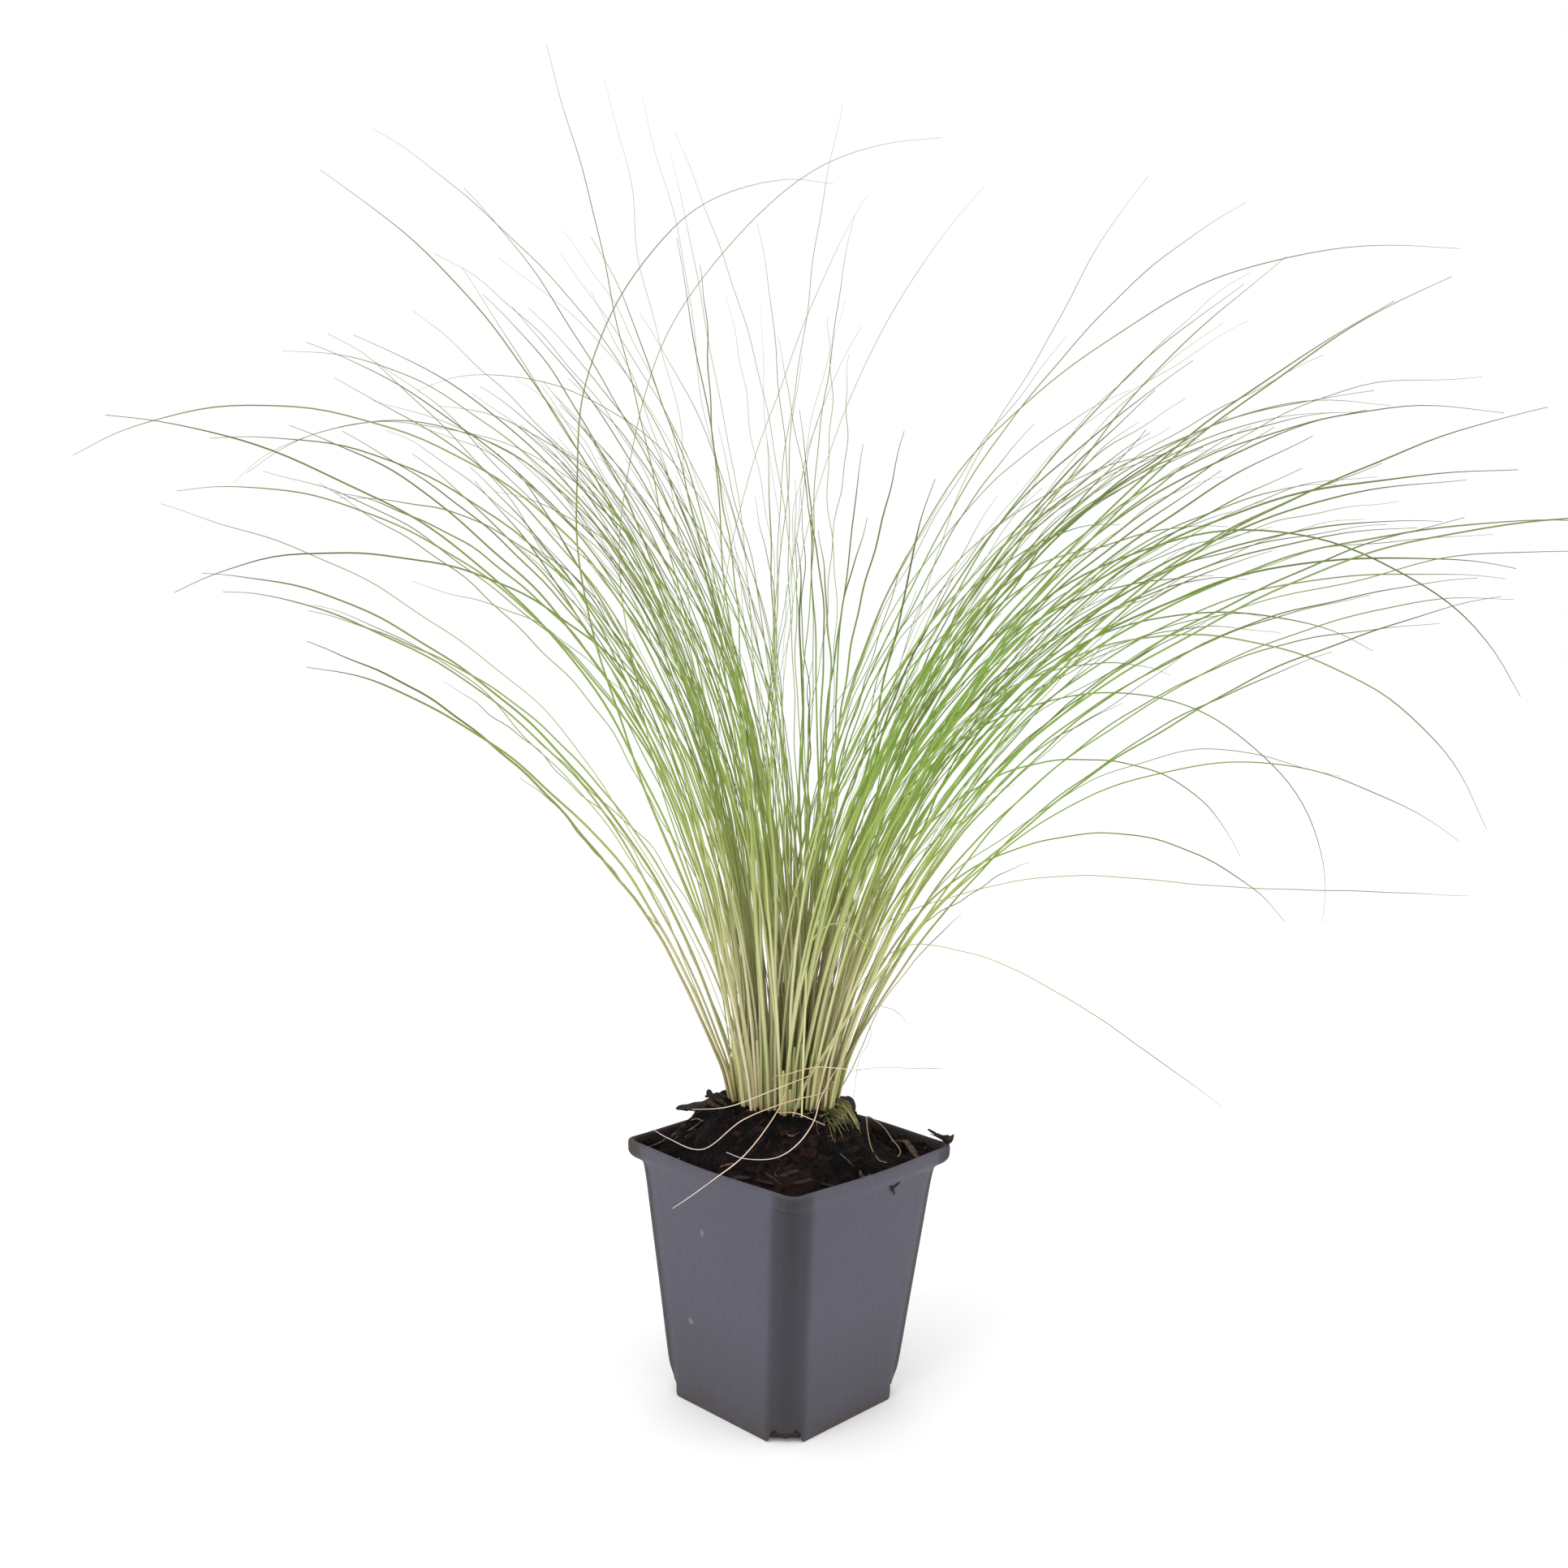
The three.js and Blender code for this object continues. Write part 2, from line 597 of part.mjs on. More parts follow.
// One blade of the bulk: upright and to the front or back, splayed low, or arched with one of the lobes.
function drawBlade(u, v, k) {
  const angle = THREE.MathUtils.degToRad(BLADE.ringTurn * k + draw(-TURN_STRAY, TURN_STRAY));
  const ring = k === 0 ? 0 : BLADE.ring;
  const root = [u + ring * Math.cos(angle), v + ring * Math.sin(angle)];
  const fan = k === 0 ? [0, 0] : [BLADE.fan * Math.cos(angle), BLADE.fan * Math.sin(angle)];
  const su = root[0] / CROWN.radius;
  const sv = root[1] / CROWN.radius;
  const kind = draw();
  const way = su + draw(-LOBE_STRAY, LOBE_STRAY) < 0 ? -1 : 1;
  const [a, b, c, d, e, f] = Array.from({ length: 6 }, () => draw());
  const between = (t, [low, high]) => low + (high - low) * t;
  const stray = (t, size) => between(t, [-size, size]);
  let from, fall, length, power;
  if (kind < UPRIGHT.share) {
    const back = sv + stray(e, UPRIGHT.sideStray) > 0 ? 1 : -1;
    const { spread, fallU, fallV } = UPRIGHT;
    from = [su * spread[0] + stray(a, UPRIGHT.stray[0]), sv * spread[1] + stray(b, UPRIGHT.stray[1])];
    fall = [between(c, fallU), back * between(d, fallV)];
    length = between(f, UPRIGHT.length);
    power = between(e, UPRIGHT.power);
  } else if (kind < UPRIGHT.share + SPLAYED.share) {
    const { leanU, spreadV, strayV, fallU, fallSpread, fallStray } = SPLAYED;
    from = [way * between(a, leanU), sv * spreadV + stray(b, strayV)];
    fall = [way * between(c, fallU), sv * fallSpread + stray(d, fallStray)];
    length = between(f, SPLAYED.length);
    power = between(e, SPLAYED.power);
  } else {
    const lobe = way > 0 ? ARCHED.right : ARCHED.left;
    const leanU = su * lobe.spreadU + lobe.offset;
    from = [leanU + stray(a, ARCHED.stray), sv * ARCHED.spreadV + stray(b, ARCHED.stray)];
    fall = [way * between(c, ARCHED.fallU), sv * ARCHED.fallSpread + stray(d, ARCHED.fallStray)];
    length = FULL_LENGTH * between(f, lobe.lengthShare) ** ARCHED.lengthPower;
    power = between(e, lobe.power);
  }
  from = [from[0] + fan[0], from[1] + fan[1]];
  const share = (length / FULL_LENGTH) ** power;
  const to = [from[0] + fall[0] * share, from[1] + fall[1] * share];
  return { root, leaf: { from, to, length, power, thick: BLADE.root } };
}

const groundAt = (u, v) => vec(u + CROWN.u, v, soilHeightAlong(u + CROWN.u, v));
const rootOf = (u, v) => groundAt(u, v).add(vec(0, 0, CROWN.rootLift));

// A sheath stands on the crown's own lean; grown by a gap and set deeper, it is the well that it fills.
function sheath(i, gap = 0) {
  const [u, v] = tuftPlace(i);
  const lean = [u, v].map((p) => (p / CROWN.radius) * CROWN.lean);
  const straight = { from: lean, to: lean, power: 1 };
  const ground = groundAt(u, v);
  const up = leafPath(ground, { ...straight, length: SHEATH.height }).at(-1);
  const down = leafPath(ground, { ...straight, length: -SHEATH.depth - gap }).at(-1);
  const spine = gap ? [down, up] : [down, ground, up];
  const wide = SHEATH.collar + ((SHEATH.collar - SHEATH.foot) * SHEATH.height) / SHEATH.depth;
  const radii = gap ? [SHEATH.foot + gap, wide + gap] : [SHEATH.foot, SHEATH.collar, SHEATH.mouth];
  const sections = radii.map((r) => oval(SHEATH.sides, r));
  return { spine, radii, body: sweep(spine, sections, vec(1, 0, 0)) };
}

function bladeBody({ spine, radii, heading }) {
  const level = vec(-Math.sin(heading), Math.cos(heading), 0);
  return sweep(spine, radii.map((r) => oval(BLADE.sides, r)), level);
}

// Every tuft's blades: the long leaves go to their nearest tufts first, then each tuft is filled up.
// A blade that comes too near another tuft is drawn again, and is left out after TRIES draws.
function growTufts() {
  const bare = (i) => ({ ...sheath(i), place: tuftPlace(i), blades: [] });
  const tufts = Array.from({ length: CROWN.tufts }, (_, i) => bare(i));
  tufts.forEach((tuft, i) => place(i, tuft.spine, tuft.radii, true));
  for (const leaf of DRY_LEAVES) place(leaf, drySpine(leaf), Array(DRY_STEPS + 2).fill(leaf.radius));
  for (const { from, to, radius } of KEEP_OUT) place(from, [vec(...from), vec(...to)], [radius, radius]);
  const grow = (i, next) => {
    for (let attempt = 0; attempt < TRIES; attempt++) {
      const { root, leaf } = next(attempt);
      const blade = bladeRings(rootOf(...root), leaf);
      if (!isClear(i, blade.spine, blade.radii)) continue;
      place(i, blade.spine, blade.radii);
      tufts[i].blades.push(blade);
      return;
    }
  };
  for (const [u, v, fromU, fromV, toU, toV, length, power] of LONG_LEAVES) {
    const gaps = tufts.map((tuft) => Math.hypot(tuft.place[0] - u, tuft.place[1] - v));
    const owner = gaps.indexOf(Math.min(...gaps));
    const pull = Math.min(1, BLADE.ring / gaps[owner]);
    const root = tufts[owner].place.map((p, axis) => p + ([u, v][axis] - p) * pull);
    grow(owner, (attempt) => {
      const nudge = attempt === 0 ? 0 : NUDGE.first + attempt * NUDGE.perTry;
      const [a, b, c] = [draw(-nudge, nudge), draw(-nudge, nudge), draw(-nudge, nudge)];
      const from = [fromU + a / 3, fromV + b / 2];
      return { root, leaf: { from, to: [toU, toV + c], length, power, thick: LONG_BLADE_ROOT } };
    });
  }
  for (let k = 0; k < BLADE.perTuft; k++)
    for (let i = 0; i < CROWN.tufts; i++)
      if (tufts[i].blades.length < BLADE.perTuft) grow(i, () => drawBlade(...tufts[i].place, k));
  return tufts;
}

// ---------- dry leaves, bark and moss ----------
// A dry leaf's spine stands in the soil, and runs no lower than the soil or the rim under it.
function drySpine({ radius, route }) {
  const [u, v] = route[0];
  const foot = vec(u, v, soilHeightAlong(u, v) - DRY_ROOT_DEPTH);
  const collar = foot.clone().setZ(foot.z + DRY_ROOT_DEPTH + DRY_COLLAR);
  const curve = new THREE.CatmullRomCurve3([collar, ...route.map((p) => vec(...p))], false, "centripetal");
  const lift = radius + DRY_LIFT;
  const points = curve.getSpacedPoints(DRY_STEPS).map((p, k) => {
    const from = toPot(p.x, p.y);
    const fromSide = Math.max(Math.abs(from.x), Math.abs(from.y));
    let ground = soilHeight(from.x, from.y);
    if (fromSide > POT.mouthHalf - RIM_MARGIN.inside) ground = POT.height;
    if (fromSide > POT.lipHalf + RIM_MARGIN.outside) ground = -Infinity;
    return k < 1 ? p : p.setZ(Math.max(p.z, ground + lift));
  });
  return [foot, ...points];
}

function dryLeaf(leaf, gap = 0) {
  const spine = drySpine(leaf);
  const first = spine[1].clone().setZ(spine[1].z + SOIL.wellOver);
  const used = gap ? [spine[0].clone().setZ(spine[0].z - gap), first] : spine;
  const end = leaf.route.at(-1);
  const level = vec(-(end[1] - leaf.route[0][1]), end[0] - leaf.route[0][0], 0).normalize();
  const taper = (k) => (gap ? leaf.radius + gap : leaf.radius * (k < used.length - 1 ? 1 : DRY_TIP));
  return sweep(used, used.map((_, k) => oval(DRY_SIDES, taper(k))), level);
}

function flake({ route, half, thick }) {
  const spine = route.map((p) => vec(...p));
  const along = spine.at(-1).clone().sub(spine[0]);
  const level = vec(-along.y, along.x, 0).normalize();
  const chipped = (i, k) => 1 + CHIPPED.size * Math.sin(CHIPPED.turn * i + k);
  const rough = (k) => oval(6, half[k], thick[k]).map(([a, b], i) => [a * chipped(i, k), b]);
  return sweep(spine, spine.map((_, k) => rough(k)), level);
}

// A lumpy knob of bark that sits on the soil.
function barkKnob() {
  const ball = new THREE.IcosahedronGeometry(1, 1);
  const raw = ball.getAttribute("position");
  const keys = new Map();
  const points = [];
  const triangles = [];
  const seat = soilHeightAlong(BARK_KNOB.u, BARK_KNOB.v) + BARK_KNOB.radius * BARK_KNOB.seat;
  for (let i = 0; i < raw.count; i++) {
    const p = vec(raw.getX(i), raw.getY(i), raw.getZ(i));
    const key = [p.x, p.y, p.z].map((value) => value.toFixed(4)).join();
    if (!keys.has(key)) {
      keys.set(key, points.length);
      const swell = BARK_KNOB.radius * (1 + BARK_KNOB.lumps * Math.sin(5 * p.x + 3 * p.y + 4 * p.z));
      points.push(p.multiplyScalar(swell).add(vec(BARK_KNOB.u, BARK_KNOB.v, seat)));
    }
    if (i % 3 === 0) triangles.push([]);
    triangles.at(-1).push(keys.get(key));
  }
  return solid(points, triangles);
}

// A cushion of moss: rings of points on a low dome over rings on the soil.
function mossPad() {
  const ring = (share, dome) =>
    Array.from({ length: MOSS.sectors }, (_, k) => {
      const angle = (2 * Math.PI * k) / MOSS.sectors;
      const lobes = 1 + MOSS_LOBES[0] * Math.sin(3 * angle + 1) + MOSS_LOBES[1] * Math.sin(5 * angle);
      const r = MOSS.radius * share * lobes;
      const u = MOSS.u + r * Math.cos(angle);
      const v = MOSS.v + r * Math.sin(angle);
      const lumps = 1 + MOSS_LUMPS * Math.sin(2.7 * u + 1.9 * v);
      const swell = MOSS.height * Math.sqrt(1 + MOSS.edge - share * share) * lumps;
      return vec(u, v, soilHeightAlong(u, v) + (dome ? swell : -SEAT_DEPTH));
    });
  const shares = Array.from({ length: MOSS.rings }, (_, k) => (k + 1) / MOSS.rings);
  return loft([...shares.map((s) => ring(s, false)), ...shares.reverse().map((s) => ring(s, true))]);
}

// ---------- the whole plant ----------
const tufts = growTufts();
const clump = new THREE.Group();
clump.rotation.z = HEADING;
const twoDigits = (i) => String(i + 1).padStart(2, "0");
tufts.forEach((tuft, i) => {
  const body = wasm.Manifold.union([tuft.body, ...tuft.blades.map(bladeBody)]);
  clump.add(mesh("tuft_" + twoDigits(i), body, FINISH.grass));
});
DRY_LEAVES.forEach((leaf, i) => clump.add(mesh("dry_leaf_" + (i + 1), dryLeaf(leaf), FINISH.dry)));
clump.add(mesh("rim_chip", flake(RIM_CHIP), FINISH.bark));

const HEADING_DEGREES = THREE.MathUtils.radToDeg(HEADING);
const sheathWells = tufts.map((_, i) => sheath(i, CLEARANCE).body);
const wells = [...sheathWells, ...DRY_LEAVES.map((leaf) => dryLeaf(leaf, CLEARANCE))];
const ground = soil(wells.map((well) => well.rotate([0, 0, HEADING_DEGREES])));
const seat = soil([]).translate([0, 0, CLEARANCE]).rotate([0, 0, -HEADING_DEGREES]);
clump.add(mesh("bark_flake", flake(BARK_FLAKE).subtract(seat), FINISH.bark));
clump.add(mesh("bark_knob", barkKnob().subtract(seat), FINISH.bark));
clump.add(mesh("moss_pad", mossPad().subtract(seat), FINISH.moss));

const plant = new THREE.Group();
plant.add(mesh("pot", pot(), FINISH.pot));
plant.add(mesh("soil", ground, FINISH.soil));
plant.add(clump);

export default plant;
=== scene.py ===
"""Mexican feather grass in its square nursery pot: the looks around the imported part."""

from math import cos, pi, radians, sin

import bpy
import numpy as np
from bpy.props import FloatProperty, FloatVectorProperty, IntProperty, PointerProperty
from mathutils import Matrix, Vector


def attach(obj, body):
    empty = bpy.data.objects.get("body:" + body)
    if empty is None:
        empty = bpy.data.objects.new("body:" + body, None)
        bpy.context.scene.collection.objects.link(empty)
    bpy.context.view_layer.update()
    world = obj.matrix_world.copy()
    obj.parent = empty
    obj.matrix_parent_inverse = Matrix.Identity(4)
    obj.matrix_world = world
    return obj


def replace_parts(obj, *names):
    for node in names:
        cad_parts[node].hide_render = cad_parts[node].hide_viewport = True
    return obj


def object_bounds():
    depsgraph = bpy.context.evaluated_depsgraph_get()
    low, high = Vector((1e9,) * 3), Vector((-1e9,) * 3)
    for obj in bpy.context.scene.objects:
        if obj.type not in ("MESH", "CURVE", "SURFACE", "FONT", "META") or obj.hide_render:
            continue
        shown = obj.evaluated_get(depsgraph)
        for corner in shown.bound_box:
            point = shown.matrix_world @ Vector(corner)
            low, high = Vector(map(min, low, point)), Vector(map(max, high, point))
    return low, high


bl_info = {
    "name": "Mexican Feather Grass",
    "version": (1, 0, 0),
    "blender": (4, 5, 0),
    "location": "3D View > Sidebar > Feather Grass",
    "description": "Dresses a packed feather grass plant with its pot, soil, leaves and litter",
    "category": "Add Mesh",
}

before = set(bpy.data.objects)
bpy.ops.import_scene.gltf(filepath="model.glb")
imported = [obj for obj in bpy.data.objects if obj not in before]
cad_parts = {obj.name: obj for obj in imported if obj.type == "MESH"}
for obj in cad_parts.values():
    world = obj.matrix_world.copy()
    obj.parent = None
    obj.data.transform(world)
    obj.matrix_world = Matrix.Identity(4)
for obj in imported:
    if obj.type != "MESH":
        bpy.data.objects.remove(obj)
cad_low, cad_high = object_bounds()

# ---------- driving dimensions, in millimetres and degrees as in the part's source ----------
MM = 0.001
HEADING = radians(43.8)  # the two lobes fall along a line turned this much about Z
FOOT_HALF = 33.5
DRAFT = 0.0967
WALL = 1.0
POT_HEIGHT = 99.0
MOUTH_HALF = 43.4
LIP_HALF = 45.0
HEEL, ANKLE = 4.5, 11.0  # heights at which a corner is half way out of its foot, and all the way
# A corner of the pot: the side ends so far before it, the middle of its round, the step back.
CORNER = (11.3, 7.0, 1.3)
CORNER_HEEL = (10.0, 8.0, 2.3)
CORNER_FOOT = (8.5, 6.0, 2.6)
CORNER_ROUND = (11.3, 4.0, 0.0)
# Heights on the pot: its floor, the end of its side, the ledge under the lip, the lip's lower and upper edge,
# and on the inside the mouth, the end of its round corners and the start of its channels.
FLOOR, SIDE_END, LEDGE_LOW, LEDGE_HIGH, LIP_LOW, LIP_HIGH = 1.6, 84.0, 91.2, 92.4, 94.3, 98.5
MOUTH_TOP, ROUND_END, CHANNEL_TOP = 98.7, 94.0, 90.0
LEDGE_OUT, LIP_SLOPE, LIP_TOP_HALF = (0.3, 1.3), 0.1, 44.5
# Points along a side of the pot's section, round its corner and on the step between them.
SIDE_POINTS, ROUND_POINTS, STEP_POINTS = 18, 19, 4
# How far the sides bulge at the rim, the height this starts at and grows over, and how far out a side starts.
BOW, BOW_FROM, BOW_RUN, BOW_SIDE, BOW_EDGE = 2.2, 35.0, 60.0, 25.0, 10.0
GROOVE = {"start": 14.0, "height": 3.9, "top": 5.4, "foot": 6.1, "ramp": 0.8}
DRAIN_RADIUS, DRAIN_PLACES, DRAIN_RISE, DRAIN_EDGE = 2.5, (20.0, 30.0), 3.4, 0.4
UNDER_ROWS = 48  # rings of the underside, counted to its middle

SOIL_TOP, MOUND, MOUND_REACH, MOUND_RUN, EDGE_RUN = 96.0, 18.5, 50.0, 26.0, 8.0
MOUND_SKEW = (0.3, 0.15)  # how much sooner it falls off to the right and the back
WAVES = ((0.31, 0.12, 1.3, 0.7), (-0.18, 0.37, 0.4, 0.7), (0.55, -0.46, 2.2, 0.5))  # along x, y, start, size
CALM_SHARE, CALM_RADIUS, CALM_RUN = 0.3, 20.0, 12.0
SOIL_COLUMNS, SOIL_ROWS, SOIL_GAP, SOIL_EDGE, SOIL_FOOT, SOIL_RELIEF = 400, 84, 0.05, 94.5, 6.0, 1.6
SOIL_CROWDING = 0.9  # the power that crowds the soil's rings to its edge
# The rings of the soil's skirt: height and corner.
SOIL_SKIRT = ((SOIL_FOOT, CORNER_HEEL), (ANKLE + 1, CORNER), (45.0, CORNER), (89.0, CORNER))
# The soil's lumps: how wide and how high each size is. The third is folded up into ridges.
LUMPS = ((7.0, 0.8), (3.1, 0.7), (1.5, 0.45), (0.8, 0.2))
# Crumbs and fibres lie within this reach along each axis, and within this sum of the two. No point of a fibre
# is further out than its reach, and none starts nearer to the middle than the last.
LITTER_REACH, LITTER_CORNER, FIBRE_REACH, FIBRE_FROM = 42.2, 80.5, 42.3, 20.0
# A crumb's size is drawn from a gamma curve of this shape and scale, no smaller or larger than the last two.
CRUMB_SHAPE, CRUMB_SIZE, CRUMB_LEAST, CRUMB_MOST = 2.2, 0.22, 0.18, 1.9
FIBRE_POINTS = 9

CROWN_U, CROWN_RADIUS, TUFTS, TURN, CROWN_LEAN, ROOT_LIFT = -2.0, 19.5, 42, 137.508, 9.0, 2.0
SHEATH_FOOT, SHEATH_COLLAR, SHEATH_MOUTH, SHEATH_DEPTH, SHEATH_HEIGHT = 1.3, 2.3, 2.0, 18.0, 9.0
BLADE_ROOT, LONG_BLADE_ROOT, BLADE_TIP, BLADE_RING, BLADE_FAN, PER_TUFT = 0.8, 0.85, 0.42, 1.7, 2.5, 7
CLEARANCE, PATH_STEPS, FULL_LENGTH, TRIES, SEED = 0.3, 24, 400.0, 200, 11
# The papery sheaths: how many a tuft has, how far from its middle, how tall beside the solid one, and the
# half width from the foot to the mouth.
SHEATHS_PER_TUFT, SHEATH_RING, SHEATH_TALL, SHEATH_HALF = 3, 1.3, (0.9, 3.4), (1.1, 1.2, 1.0, 0.8, 0.45)

# A leaf's waves across its path: how many turns each makes at most, and its size.
WAVE_TURNS, WAVE_SIZES, TURNS_LEAST, SECOND_WAVES = (2.2, 5.2, 12.0), (1.0, 0.5, 0.2), 0.6, 0.8
# The line (u, z) of each lobe's stream of leaves.
STREAMS = (((-6, 120), (-20, 200), (-43, 274), (-73, 333), (-102, 387), (-150, 420)),
           ((6, 120), (18, 200), (35, 256), (82, 298), (148, 327), (213, 351)))
# A leaf away from its lobe's stream thins by up to THINNED from so far along it. Whether it is away is told
# at three steps of its path, over so many millimetres from the line.
THIN_FROM, THIN_RUN, THINNED, AWAY_STEPS, AWAY_FROM, AWAY_RUN = 45.0, 100.0, 0.72, (12, 15, 18), 10.0, 30.0
# Each lobe's least share of that thinning, then its share between the lobes and outside them.
THIN_SHARES = ((0.42, 0.88, 0.05), (0.1, 0.55, 0.42))
TIP_FROM, TIP_LOSS = 0.86, 0.6  # the very tip's start, as a share of the leaf, and how much width it loses
LEAF_FLAT, DEEPER = 0.75, 6.0  # a leaf's depth beside its width, and how far its foot goes into the soil
WAVY, FINE_WAVY, HAIR_WAVY = 1.1, 2.2, 0.6  # how far the waves reach across a leaf's path
FINE_WIDTHS, FINE_TIP, HAIR_WIDTH, HAIR_TIP, HAIR_TONE = (0.35, 0.62), 0.75, 1.2, 0.7, 0.3
# A long leaf is in its lobe's stream when it falls by these degrees, over this length and with no sharp bend.
# It stands alone when it bends sharply or hardly at all, or falls by more than the last.
STREAM_FALL, STREAM_LENGTH, SHARP_BEND, EVEN_BEND, LONE_FALL = (74, 125), 325, 2, 0.95, 150
# The leaves that follow a long one: how long they are beside it on the left and on the right, and how far
# their roots stray in millimetres and their leans in degrees, along u and v.
FOLLOWER_SHARES = ((0.62, 1.0), (0.36, 0.92))
ROOT_STRAY, START_STRAY, END_STRAY = 2.0, (1.8, 2.6), (4.5, 11.0)
DRAWN_FINER = 0.6  # how wide the leaves drawn by the clump's rule are beside those that follow a long leaf
BOX_MARGIN = 4.0  # a fine leaf that leaves the part's box by more is left out

# The long leaves: root (u, v), lean at the root and at the tip along u and v, length, power of the bend.
LONG_LEAVES = (
    (-6, 4, 1, 2, -62, 12, 430, 1.5), (-11, -6, -6, -3, -57, -18, 375, 1.7),
    (-12, 8, -3, 4, -84, 25, 400, 1.5), (-15, -2, -3, 0, -123, -12, 415, 1.7),
    (-14, 5, -2, 3, -122, 30, 405, 1.9), (-17, -5, -2, -4, -94, -28, 340, 1.7),
    (-17, 2, -5, 2, -95, 10, 360, 1.25), (-15, -9, 2, -5, -116, -35, 335, 1.5),
    (-18, -1, -20, 0, -88, -8, 285, 1.6), (-18, 5, -17, 4, -87, 20, 325, 1.2),
    (-19, -4, -20, -5, -77, -22, 235, 1.5), (-13, 9, 2, 6, -185, 30, 320, 2.3),
    (-9, -10, 4, -5, -116, -20, 340, 2.8), (-4, -3, -10, 0, -17, -6, 390, 1.2),
    (-6, 9, -24, 5, 98, 15, 440, 3.1), (-4, -8, -23, -3, 91, -12, 415, 2.5),
    (1, 3, 4, 2, -25, 10, 380, 1.35), (-2, 6, -3, 3, -15, 14, 375, 1.3),
    (4, -4, 0, -2, -9, -8, 320, 1.3), (-3, 1, -4, 1, 10, 4, 375, 1.3),
    (-7, -6, -13, -4, 32, -8, 345, 1.4), (4, 7, -2, 3, 8, 16, 350, 1.3),
    (5, -8, -7, -4, 42, -12, 345, 2), (6, 5, -3, 3, 54, 14, 415, 1),
    (8, -3, 1, -1, 98, -8, 430, 1.75), (11, 6, 6, 4, 91, 22, 410, 1.5),
    (8, 10, 4, 4, 81, 30, 410, 1.2), (12, -5, 6, -2, 99, -14, 390, 1.6),
    (10, 1, 0, 1, 93, 6, 365, 1), (13, -10, 8, -4, 100, -30, 345, 1.4),
    (18, 1, 17, 1, 127, 8, 310, 1.2), (16, 7, 2, 6, 147, 35, 275, 1.4),
    (17, -4, 11, -4, 141, -25, 230, 1.45), (15, -10, 6, -8, 156, -40, 200, 0.9),
    (13, 9, -4, 3, 183, 20, 373, 1.4), (14, -7, -2, -4, 157, -22, 373, 1.4),
    (11, -11, 3, -5, 151, -35, 395, 1.8), (17, 5, 22, 3, 110, 15, 280, 0.9),
    (14, 3, 4, 2, 116, 10, 330, 1.4),
)

DRY_ROOT_DEPTH, DRY_COLLAR, DRY_LIFT, DRY_STEPS, DRY_FINE_STEPS = 4.0, 0.5, 0.9, 8, 60
DRY_WIDTH, LIVING_WIDTH = 0.54, 0.95  # the half width shown, beside the half thickness
# The dry leaves: half thickness, then the points (u, v, z) of the route.
DRY_LEAVES = (
    (0.45, ((7, -24.5, 122), (3.5, -27, 131), (-5, -28, 127.6), (-23, -22.5, 118.6), (-37, -12, 114))),
    (0.5, ((12, -24.5, 121), (-0.3, -27, 122.6), (-17.3, -28.5, 115.7), (-31.8, -24.5, 103),
           (-45.7, -10, 102), (-52.5, -3, 103.3))),
    (0.45, ((-3.2, -25, 119), (-9, -34, 114.2), (-17.6, -44, 106.2), (-26.5, -46, 99.5), (-35, -42, 91.5),
            (-42, -36, 84.5))),
    (0.45, ((15, -24, 119), (8.2, -31.5, 116.4), (2.1, -39, 110), (-5, -43, 106.6), (-16.4, -40, 105),
            (-23, -36.5, 106))),
    (0.4, ((-6, -24.5, 119), (1, -27.5, 118.5), (8, -29.5, 116.6), (12.5, -30.5, 115))),
    (0.4, ((31.4, 9.5, 103.5), (30.4, 4, 106.5), (29.9, -7.1, 105.2), (32.4, -13.1, 101.2),
           (35.5, -23.2, 98.4))),
    (0.4, ((33, 13, 101.5), (34, 11.8, 104.2), (36.9, 10, 101.8), (40.9, 4, 98.8), (41.5, -4.4, 98.2),
           (40.3, -12.5, 98.2))),
    (0.4, ((-8, -25, 124), (-4, -27, 132), (8.5, -30, 136.3), (21, -27.5, 135.2), (38, -20, 133.7))),
    (0.5, ((4, -25.5, 125), (4.2, -26.5, 154), (6, -27.5, 182), (14.2, -28, 189), (22, -27, 185),
           (27.5, -26, 178))),
)
# Where a dry leaf leaves the crown: the number of its route's first points that give way, and the points
# (u, v, z) that take their place.
CROWN_ENDS = (
    (1, ((9, -19, 133.5), (6.4, -24, 131.6))),
    (1, ((15, -19, 125.6), (11.3, -24, 125))),
    (1, ((-1.6, -20, 131), (-2.7, -25, 123.4))),
    (1, ((19, -15, 137.1), (16.9, -18, 133.3), (14.2, -22, 129.7), (10.7, -25, 123.2))),
    (1, ((-5.5, -21, 116.4), (-3.7, -24.4, 117.4))),
    (5, ((30.2, 11, 103.3), (29.5, 5.5, 107.5), (29.3, -3, 107.6), (29.4, -9, 106.2), (30.6, -18, 102.4),
         (33.2, -24, 100.2), (35.6, -26.5, 99.9))),
    (6, ((30.3, 11.5, 103.3), (30.2, 7.5, 107.3), (33, 8, 105.6), (36.6, 8, 102.8), (39.4, 3, 100),
         (41.6, -5, 99.2), (41.9, -10, 98.8), (40.6, -14, 98.6))),
    (1, ((-7.6, -22, 128.2), (-5, -25, 131.6))),
    (0, ()),
)
BROWN, BROWN_SHARE = (5, 6), 0.06  # the two that are brown all along
LIVING, LIVING_SHARE = 8, 0.3  # the fallen leaf that is still green, and how far its colour goes to the tip's
BARK_FLAKE = {
    "route": ((-27.3, 0, 115), (-34, 1, 111.9), (-44, 1, 110.4)),
    "half": (3.2, 4.4, 1.6),
    "thick": (1.2, 1.3, 0.7),
}
RIM_CHIP = {
    "route": ((53.9, 9.6, 102.1), (57, 6, 101.2), (60.2, 2, 100.8), (61.6, 0.4, 101.2), (63, -0.7, 103.6)),
    "half": (0.5, 0.6, 1.0, 1.2, 0.3),
    "thick": (0.42, 0.5, 0.9, 1.9, 0.15),
}
KNOB_U, KNOB_V, KNOB_RADIUS, KNOB_SEAT = 24.0, 5.0, 4.0, 0.05
